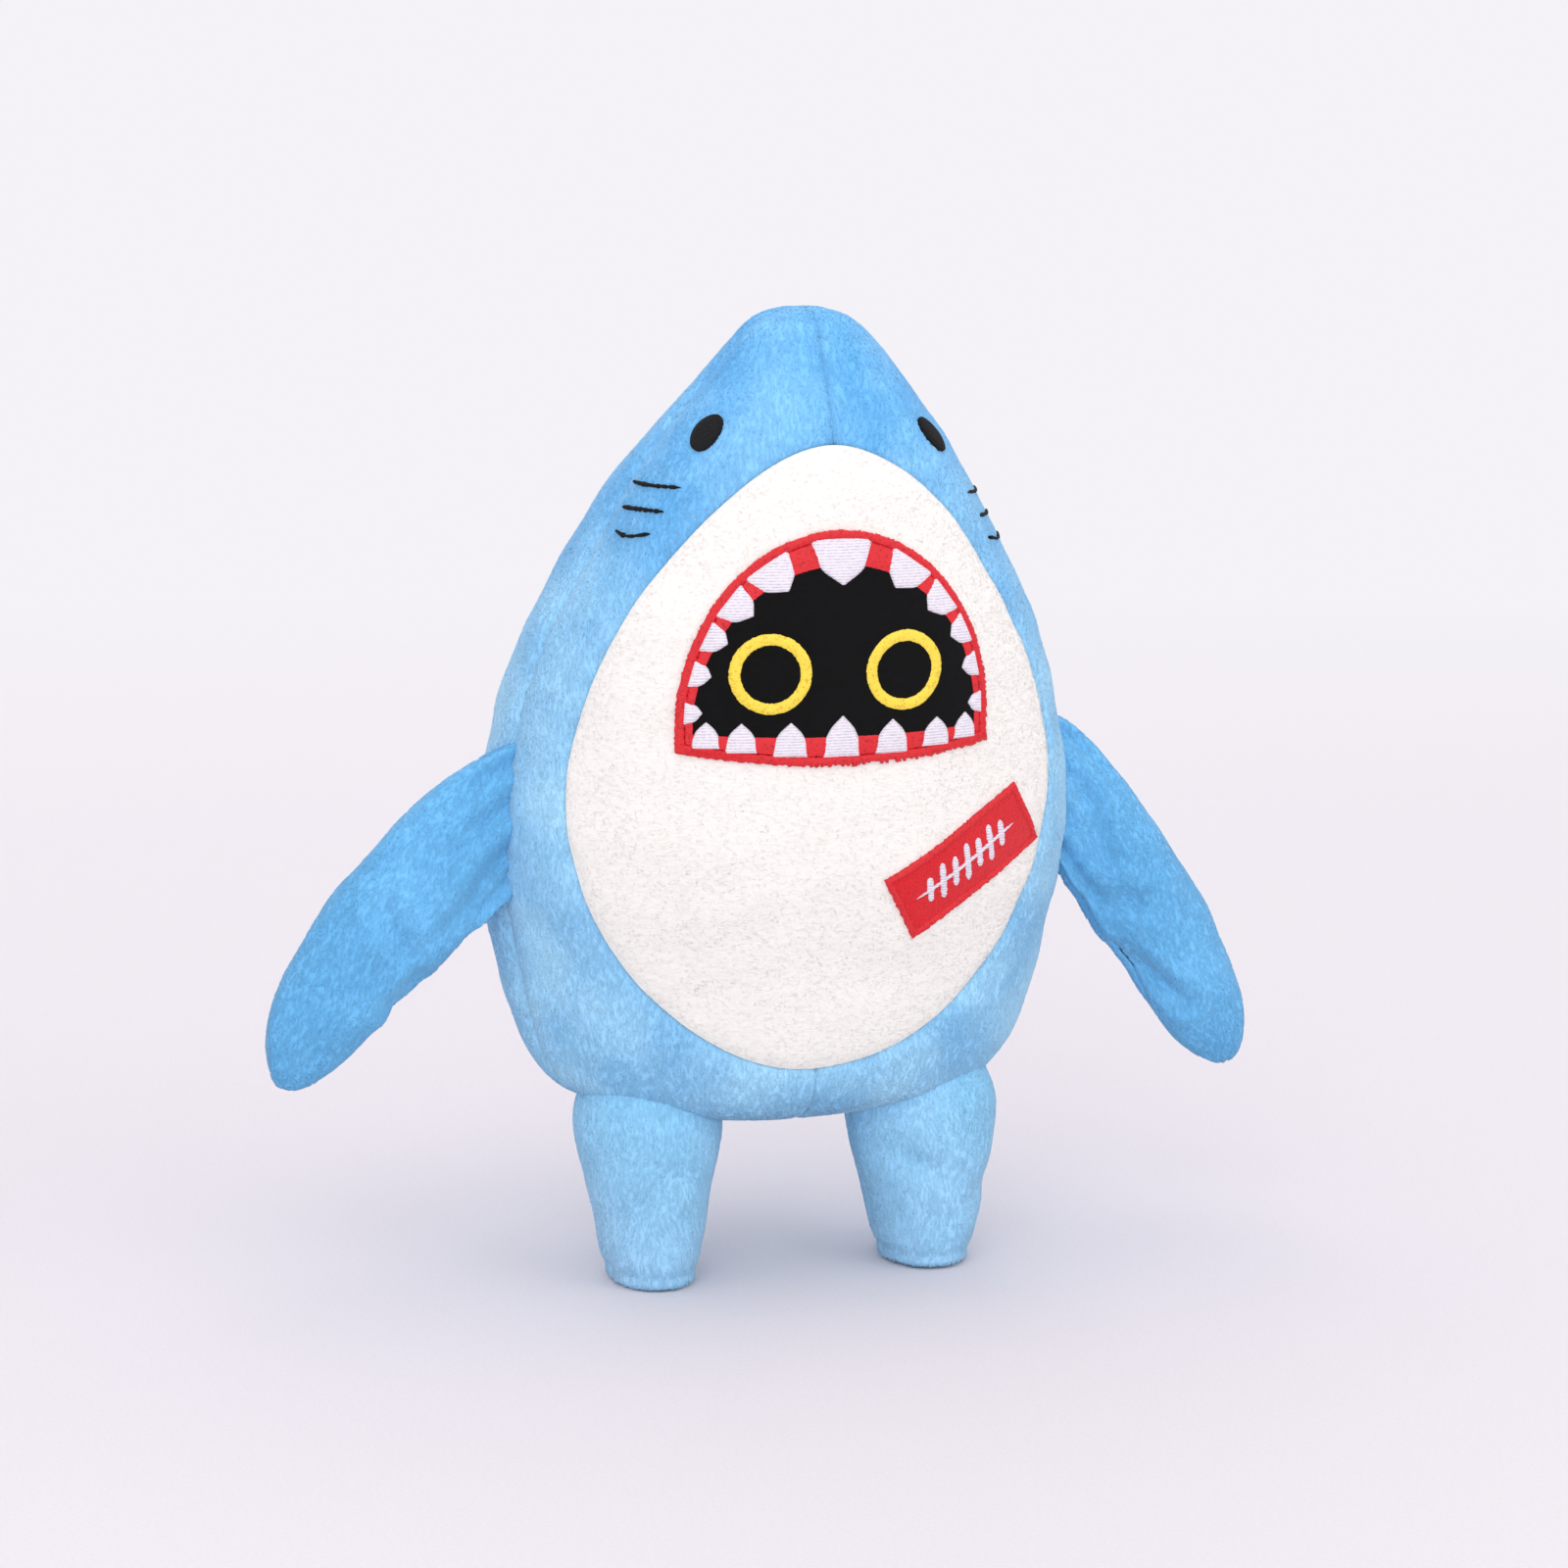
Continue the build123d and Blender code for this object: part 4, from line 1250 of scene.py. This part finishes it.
class PLUSH_SHARK_OT_legs(bpy.types.Operator):
    """Make the two legs with their soles"""

    bl_idname = "plush_shark.legs"
    bl_label = "Legs"

    def execute(self, context):
        """A tapered tube whose top, a dome, is sewn inside the body.

        Sections are ellipses; lift goes from 0 at the sole's seam to 1 at the top of the
        dome, and each panel is half of the way round.  The sole's underside is a disc
        whose height is 0.15 + 0.5 r^6, so only its rim lifts.
        """
        depth = size_of("seam_depth")
        lowest, sole_seam = 0.05, 1.5   # heights of the lowest pile and of the sole's seam
        rows = np.array([
            (0.00, 10.0, 15.0, 0.0),
            (0.02, 11.9, 17.4, 1.2),
            (0.06, 12.9, 18.4, 4.0),
            (0.20, 14.7, 19.0, 12.0),
            (0.40, 17.0, 19.4, 24.0),
            (0.60, 19.6, 20.2, 36.0),
            (0.75, 21.0, 21.0, 46.0),
            (0.90, 16.0, 16.0, 60.0),
            (1.00, 0.0, 0.0, 67.0),
        ])
        lift = np.linspace(0, 1, 90)[:, None]
        wide, deep, height = (smooth_run(lift, rows[:, 0], rows[:, i]) for i in (1, 2, 3))
        creases = {
            "left": [((27, 35), (44, 27), 1.1, 3.4), ((50, 20), (58, 24), 0.6, 3.0)],
            "right": [((-54, 20), (-40, 31), 1.1, 3.4), ((-30, 30), (-40, 36), 0.6, 3.0)],
        }
        for name, sign in (("left", 1), ("right", -1)):
            hip, _ = hinge_place(f"{name}_hip")
            lean = np.clip(height / 50, 0, 1)
            middle_y = hip[1] - 4.0 + 4.0 * lean
            broad = 1.06 if sign > 0 else 1.0   # the left leg is a little broader
            core = np.array([hip[0], hip[1], 25.0])
            start, end = (Vector((hip + (0, 0, up)) / 1000) for up in (3, -20))
            between = ("body", f"{name}_leg", start, end)
            for place, first, seed in (("front", -np.pi / 2, 80), ("back", np.pi / 2, 84)):
                turn = first + np.linspace(0, np.pi, 64)
                points = spread(
                    hip[0] + broad * wide * np.sin(turn), middle_y - deep * np.cos(turn), height
                ).reshape(-1, 3)
                from_seam = np.minimum(turn - first, first + np.pi - turn) * wide
                dip = seam_dip(from_seam, height, 0.45 * depth, 1.8)
                fold = np.exp(-((height - 4.0) / 2.0) ** 2)   # just above the sole
                dip = dip * smooth_step(height / 4) + 0.3 * depth * fold
                dip = np.broadcast_to(dip, (len(lift), len(turn))).ravel()
                dip = dip + creased(points, creases[name], 1.0 if place == "front" else 0.3)
                faces = net(len(lift), len(turn), last_pole=True)
                dip = np.where(points[:, 2] < sole_seam, 0, dip)
                surface = cover(points, faces, core, dip, seed + sign)
                surface[0][:, 2] = np.maximum(surface[0][:, 2], lowest)
                new_piece(
                    f"{name}_leg_cover_{place}", surface, "leg_plush", [f"{name}_leg_{place}"],
                    between=between,
                )
            share = np.concatenate([np.linspace(0, 1, 14), np.linspace(0.97, 0, 6)])[:, None]
            rise = np.concatenate([0.15 + 0.5 * np.linspace(0, 1, 14) ** 6, np.full(6, 2.2)])
            turn = np.linspace(-np.pi, np.pi, 72, endpoint=False)
            points = spread(
                hip[0] + 10.4 * share * np.sin(turn),
                hip[1] - 4 - 15.4 * share * np.cos(turn),
                rise[:, None],
            )
            new_piece(
                f"{name}_sole_cover", closed_form(points, tone_and_shade=0.6), "leg_plush",
                [f"{name}_sole"], body=f"{name}_leg",
            )
            turn = np.linspace(-np.pi, np.pi, 40, endpoint=False)
            points = spread(
                hip[0] + np.maximum(wide - 4, 0) * np.sin(turn),
                middle_y - np.maximum(deep - 4, 0) * np.cos(turn),
                np.clip(height, 4, 62),
            )
            points[0] = points[0].mean(axis=0)
            new_piece(
                f"{name}_leg_fibre", closed_form(points), "stuffing",
                [f"{name}_leg_stuffing"], between=between,
            )
        return {"FINISHED"}


# ---- the mouth ----

mouth_low, mouth_high = box_of("mouth_lining")
mouth_half = mouth_high[0]
mouth_middle, mouth_spring, mouth_corner = 176.0, 165.0, 158.0   # heights
border_wide = 2.4


def mouth_edge(side=0.0, top=0.0, bottom=0.0, corner=0.0, count=1500):
    """The mouth's outline drawn in by four distances: half an ellipse above two short
    uprights, and a lower edge that sags as a parabola.  It starts at the left corner.
    """
    half = mouth_half - side
    spring, low_corner = mouth_spring, mouth_corner + corner
    rise = mouth_high[2] - top - spring
    turn = np.linspace(0, np.pi, count)
    arch = np.stack([half * np.cos(turn), spring + rise * np.sin(turn)], -1)
    across = np.linspace(-half, half, count // 2)
    lowest = mouth_low[2] + bottom
    jaw = np.stack([across, lowest + (low_corner - lowest) * (across / half) ** 2], -1)
    left = np.stack([np.full(60, half), np.linspace(low_corner, spring, 60)], -1)
    right = np.stack([np.full(60, -half), np.linspace(spring, low_corner, 60)], -1)
    return np.concatenate([left[:-1], arch, right[1:-1], jaw])


def matched(outline, count=2400):
    """An outline walked by angle from the mouth's middle, so that two of them match."""
    middle = np.array([0, mouth_middle])
    angle = np.unwrap(np.arctan2(outline[:, 1] - middle[1], outline[:, 0] - middle[0]))
    order = np.argsort(angle)
    far = np.linalg.norm(outline - middle, axis=1)[order]
    angle = angle[order]
    at = np.linspace(angle[0], angle[0] + 2 * np.pi, count)
    far = np.interp(at, angle, far, period=2 * np.pi)
    return middle + far[:, None] * np.stack([np.cos(at), np.sin(at)], -1)


class PLUSH_SHARK_OT_mouth(bpy.types.Operator):
    """Make the mouth's lining, its border and its gums"""

    bl_idname = "plush_shark.mouth"
    bl_label = "Mouth"

    def execute(self, context):
        """The lining fills the outline; the border and the gums are bands inside it."""
        pitch = size_of("thread_pitch")
        lining = filled(mouth_edge(1, 1, 1, 1), 0.75, 0.1, rings=26, count=260)
        new_piece("mouth_velboa", lining, "black_velboa", ["mouth_lining"])
        rim, inside = matched(mouth_edge()), matched(mouth_edge(*[border_wide] * 4))
        border = satin_band(inside, rim, 0.7, 0.9, 0.3, pitch, 5, fringe=0.9)
        new_piece("mouth_satin_border", border, "red_thread", ["mouth_border"])
        # The gums are 2 mm wide at the sides, and wider above and below.
        hole = matched(mouth_edge(*(border_wide + wide for wide in (2.0, 7.2, 5.6, 2.6))))
        gums = satin_band(hole, inside * 0.999 + 0.001 * rim, 0.75, 0.45, 0.1, pitch, 6)
        new_piece("mouth_satin_gums", gums, "red_thread", ["gums"])
        return {"FINISHED"}


def tooth(foot, way, inwards, base, long, shoulders, lean=0.0):
    """A tooth's outline: its half base times shares of it a third and two thirds of
    the way from its root, and almost straight from there to the point.
    """
    t = np.linspace(0, 1, 40)
    half = smooth_run(t, [0, 0.35, 0.66, 1], [1, *shoulders, 0.03])
    right = foot + way * (base / 2 * half)[:, None] + inwards * (long * t)[:, None]
    left = foot - way * (base / 2 * half)[:, None] + inwards * (long * t)[:, None]
    slide = (way * lean * base)[None] * (t**2)[:, None]
    return np.concatenate([right + slide, (left + slide)[::-1]])


class PLUSH_SHARK_OT_teeth(bpy.types.Operator):
    """Make the upper and the lower teeth"""

    bl_idname = "plush_shark.teeth"
    bl_label = "Teeth"

    def execute(self, context):
        """Upper teeth stand on the border round the arch, lower teeth along the jaw."""
        half = mouth_half - border_wide
        rise = mouth_high[2] - border_wide - mouth_spring
        upper, lower = [], []
        for angle, base, long in (
            (0, 17.6, 12.8), (29.5, 13.8, 9.4), (47.0, 11.0, 7.8),
            (60.5, 8.8, 6.0), (73.0, 7.4, 5.2), (85.5, 6.2, 4.6),
        ):
            for sign in (1, -1) if angle else (1,):
                turn = np.radians(sign * angle)
                foot = np.array([half * np.sin(turn), mouth_spring + rise * np.cos(turn)])
                way = unit(np.array([half * np.cos(turn), -rise * np.sin(turn)]))
                inwards = np.array([way[1], -way[0]])
                lean = -sign * 0.05 if angle else 0.0
                outline = tooth(foot - inwards * 0.4, way, inwards, base, long, (0.9, 0.68), lean)
                upper.append(filled(outline, 0.9, 0.75))
        sideways, upwards = np.eye(2)
        for distance, base, long in (
            (0, 10.2, 11.6), (14.4, 9.4, 9.6), (27.6, 8.4, 8.2), (36.8, 7.2, 7.4),
        ):
            jaw = (mouth_corner - mouth_low[2]) * (distance / half) ** 2
            low = mouth_low[2] + border_wide + jaw
            for sign in (1, -1) if distance else (1,):
                foot = np.array([sign * distance, low - 0.3])
                outline = tooth(foot, sideways, upwards, base, long, (0.96, 0.7))
                lower.append(filled(outline, 0.9, 0.8))
        new_piece("upper_satin_teeth", joined(*upper), "white_thread", ["upper_teeth"])
        new_piece("lower_satin_teeth", joined(*lower), "white_thread", ["lower_teeth"])
        return {"FINISHED"}


class PLUSH_SHARK_OT_rings(bpy.types.Operator):
    """Make the two stitched rings in the mouth"""

    bl_idname = "plush_shark.rings"
    bl_label = "Rings"

    def execute(self, context):
        """Two circles of satin stitch whose threads point at their middles."""
        pitch = size_of("thread_pitch")
        low, high = box_of("mouth_rings")
        radius = (high[2] - low[2]) / 2
        middle_z = (high[2] + low[2]) / 2
        turn = np.linspace(0, 2 * np.pi, 400)
        circle = np.stack([np.cos(turn), np.sin(turn)], -1)
        rings = []
        for sign in (1, -1):
            middle = np.array([sign * (high[0] - radius) - 1.3, middle_z + 0.6])
            inner, outer = middle + circle * (radius - 3.3), middle + circle * (radius - 0.1)
            rings.append(satin_band(inner, outer, 0.75, 0.7, 0.15, pitch, 7 + sign))
        new_piece("satin_rings", joined(*rings), "yellow_thread", ["mouth_rings"])
        return {"FINISHED"}


# ---- patch, eyes and small stitching ----


class PLUSH_SHARK_OT_patch(bpy.types.Operator):
    """Make the felt patch with its stitched border and plain strokes"""

    bl_idname = "plush_shark.patch"
    bl_label = "Belly patch"

    def execute(self, context):
        """A turned rectangle of felt, framed in satin stitch, with white slanted
        strokes side by side and one long line through them.
        """
        pitch = size_of("thread_pitch")
        middle, tilt = np.array([40.0, 123.5]), np.radians(30)
        along = np.array([np.cos(tilt), np.sin(tilt)])
        across = np.array([-along[1], along[0]])

        def frame_of(half_long, half_tall):
            corners = [(-1, -1), (1, -1), (1, 1), (-1, 1), (-1, -1)]
            sides = [
                np.linspace(np.array(a), np.array(b), 80, endpoint=False)
                for a, b in zip(corners, corners[1:])
            ]
            at = np.concatenate([*sides, [corners[0]]])
            return middle + at[:, :1] * half_long * along + at[:, 1:] * half_tall * across

        felt = filled(frame_of(23.4, 9.4), 0.55, 0.1, rings=12, count=200)
        new_piece("patch_felt", felt, "red_felt", ["belly_patch"])
        border = satin_band(frame_of(22.2, 8.2), frame_of(24.0, 10.0), 0.5, 0.8, 0.35, pitch, 9)
        new_piece("patch_satin_border", border, "red_thread", ["patch_border"])
        strokes = []
        reaches = (3.6, 5.2, 4.4, 5.4, 4.2, 5.2, 3.8)
        for index, (place, reach) in enumerate(zip(np.linspace(-13.5, 13.5, 7), reaches)):
            slant, foot = reach * (across + 0.35 * along), middle + place * along
            path = np.linspace(foot - slant, foot + slant, 14)
            strokes.append(stitched_line(path, 2.3, 0.6, pitch, 0.5, seed=index))
        ends = middle + np.array([[-18.5], [18.5]]) * along
        strokes.append(stitched_line(np.linspace(*ends, 30), 1.0, 0.7, pitch, 0.6, seed=20))
        new_piece("patch_strokes", joined(*strokes), "white_thread")
        return {"FINISHED"}


class PLUSH_SHARK_OT_eyes(bpy.types.Operator):
    """Make the two embroidered eyes"""

    bl_idname = "plush_shark.eyes"
    bl_label = "Eyes"

    def execute(self, context):
        """Two ovals of black satin stitch whose tops lean towards each other."""
        low, high = box_of("eyes")
        turn = np.linspace(0, 2 * np.pi, 90, endpoint=False)
        eyes = []
        for sign in (1, -1):
            tilt = np.radians(sign * 38)
            oval = np.stack([2.2 * np.cos(turn), 5.8 * np.sin(turn)], -1)
            turned = oval @ np.array([[np.cos(tilt), np.sin(tilt)], [-np.sin(tilt), np.cos(tilt)]])
            level = (low[2] + high[2]) / 2 - 2.7 - 0.8 * sign
            middle = np.array([sign * (31.4 - 0.7 * sign), level])
            eyes.append(filled(middle + turned, 0.9, 0.6, rings=9))
        new_piece("satin_eyes", joined(*eyes), "black_thread", ["eyes"])
        return {"FINISHED"}


def on_side(theta, z, rise):
    """Points on the body at an angle round its axis and a height, raised by rise along
    its normal, the cross product of the ways round it and up it.
    """
    theta, z = np.broadcast_arrays(np.asarray(theta, float), np.asarray(z, float))
    lift = lift_of(z)
    points = body_at(theta, lift)
    step = 0.01
    round_way = body_at(theta + step, lift) - body_at(theta - step, lift)
    up_way = body_at(theta, lift + step) - body_at(theta, lift - step)
    normals = unit(np.cross(round_way, up_way))
    push = stuffed(points.reshape(-1, 3)).reshape(theta.shape)
    return points + normals * (push + rise)[..., None]


class PLUSH_SHARK_OT_gills(bpy.types.Operator):
    """Make the three gill lines on each side"""

    bl_idname = "plush_shark.gills"
    bl_label = "Gills"

    def execute(self, context):
        """Thin lines of black thread, set out by how far back they start and end; the
        lowest one sags most.
        """
        unroll = 40   # millimetres along a line for each radian round the body
        lines = []
        for sign in (1, -1):
            for index, (height, front, back, sag) in enumerate((
                (229.3, -39.0, -20.5, 0.3), (222.6, -37.5, -22.0, 0.0), (216.6, -36.5, -23.5, 1.2),
            )):
                height = height - 1.8 * (1 + sign)
                angles = np.linspace(0.4, 1.9, 200)
                reach = body_at(angles, np.full(200, lift_of(height)))[:, 1] - axis_y
                theta = np.interp(np.linspace(front, back, 24), reach, angles)
                drop = sag * np.sin(np.linspace(0, np.pi, 24))
                path = np.stack([theta * unroll, height - drop], -1)

                def surface(along, z, rise, sign=sign):
                    return on_side(sign * along / unroll, z, rise)

                crown = 0.45 - 0.15 * sign
                lines.append(stitched_line(
                    path, 0.9, crown, 0.7, 0.6, 0.2, seed=index + 3, surface=surface
                ))
        new_piece("gill_threads", joined(*lines), "black_thread", ["gill_stitches"])
        return {"FINISHED"}


class PLUSH_SHARK_OT_closing_seam(bpy.types.Operator):
    """Make the hand stitches that close the back seam"""

    bl_idname = "plush_shark.closing_seam"
    bl_label = "Closing stitches"

    def execute(self, context):
        """Eight short threads across the back seam, 3 mm apart."""
        low, high = box_of("closing_stitches")
        lines = []
        for index, height in enumerate(np.linspace(low[2] + 0.45, high[2] - 0.45, 8)):

            def surface(along, z, rise):
                return on_side(np.pi + along / 60, z, rise - 0.6)

            path = np.linspace((-2.4, height - 0.4), (2.4, height + 0.4), 12)
            lines.append(stitched_line(path, 0.8, 0.8, 0.7, 0.2, 0.0, seed=index, surface=surface))
        new_piece("closing_threads", joined(*lines), "blue_thread", ["closing_stitches"])
        return {"FINISHED"}


# ---- panel and registration ----

operators = (
    PLUSH_SHARK_OT_stage,
    PLUSH_SHARK_OT_belly,
    PLUSH_SHARK_OT_body_fronts,
    PLUSH_SHARK_OT_body_backs,
    PLUSH_SHARK_OT_body_stuffing,
    PLUSH_SHARK_OT_fins,
    PLUSH_SHARK_OT_dorsal_fin,
    PLUSH_SHARK_OT_tail,
    PLUSH_SHARK_OT_legs,
    PLUSH_SHARK_OT_mouth,
    PLUSH_SHARK_OT_teeth,
    PLUSH_SHARK_OT_rings,
    PLUSH_SHARK_OT_patch,
    PLUSH_SHARK_OT_eyes,
    PLUSH_SHARK_OT_gills,
    PLUSH_SHARK_OT_closing_seam,
)


class PLUSH_SHARK_PT_panel(bpy.types.Panel):
    """Sizes, colours and pieces of the plush shark"""

    bl_label = "Plush Shark"
    bl_idname = "PLUSH_SHARK_PT_panel"
    bl_space_type = "VIEW_3D"
    bl_region_type = "UI"
    bl_category = "Plush Shark"

    def draw(self, context):
        for group in (context.scene.plush_shark_sizes, context.scene.plush_shark_colours):
            box = self.layout.box()
            for name in group.__annotations__:
                box.prop(group, name)
        for operator in operators:
            self.layout.operator(operator.bl_idname)


classes = (PlushSharkSizes, PlushSharkColours, *operators, PLUSH_SHARK_PT_panel)


def register():
    for each in classes:
        bpy.utils.register_class(each)
    bpy.types.Scene.plush_shark_sizes = PointerProperty(type=PlushSharkSizes)
    bpy.types.Scene.plush_shark_colours = PointerProperty(type=PlushSharkColours)


def unregister():
    del bpy.types.Scene.plush_shark_colours
    del bpy.types.Scene.plush_shark_sizes
    for each in reversed(classes):
        bpy.utils.unregister_class(each)


def main():
    register()
    for operator in operators:
        getattr(bpy.ops.plush_shark, operator.bl_idname.split(".")[1])()
    boxes = {"cad": cad_box, "visual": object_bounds()}
    boxes = {name: [list(corner) for corner in box] for name, box in boxes.items()}


if __name__ == "__main__":
    main()
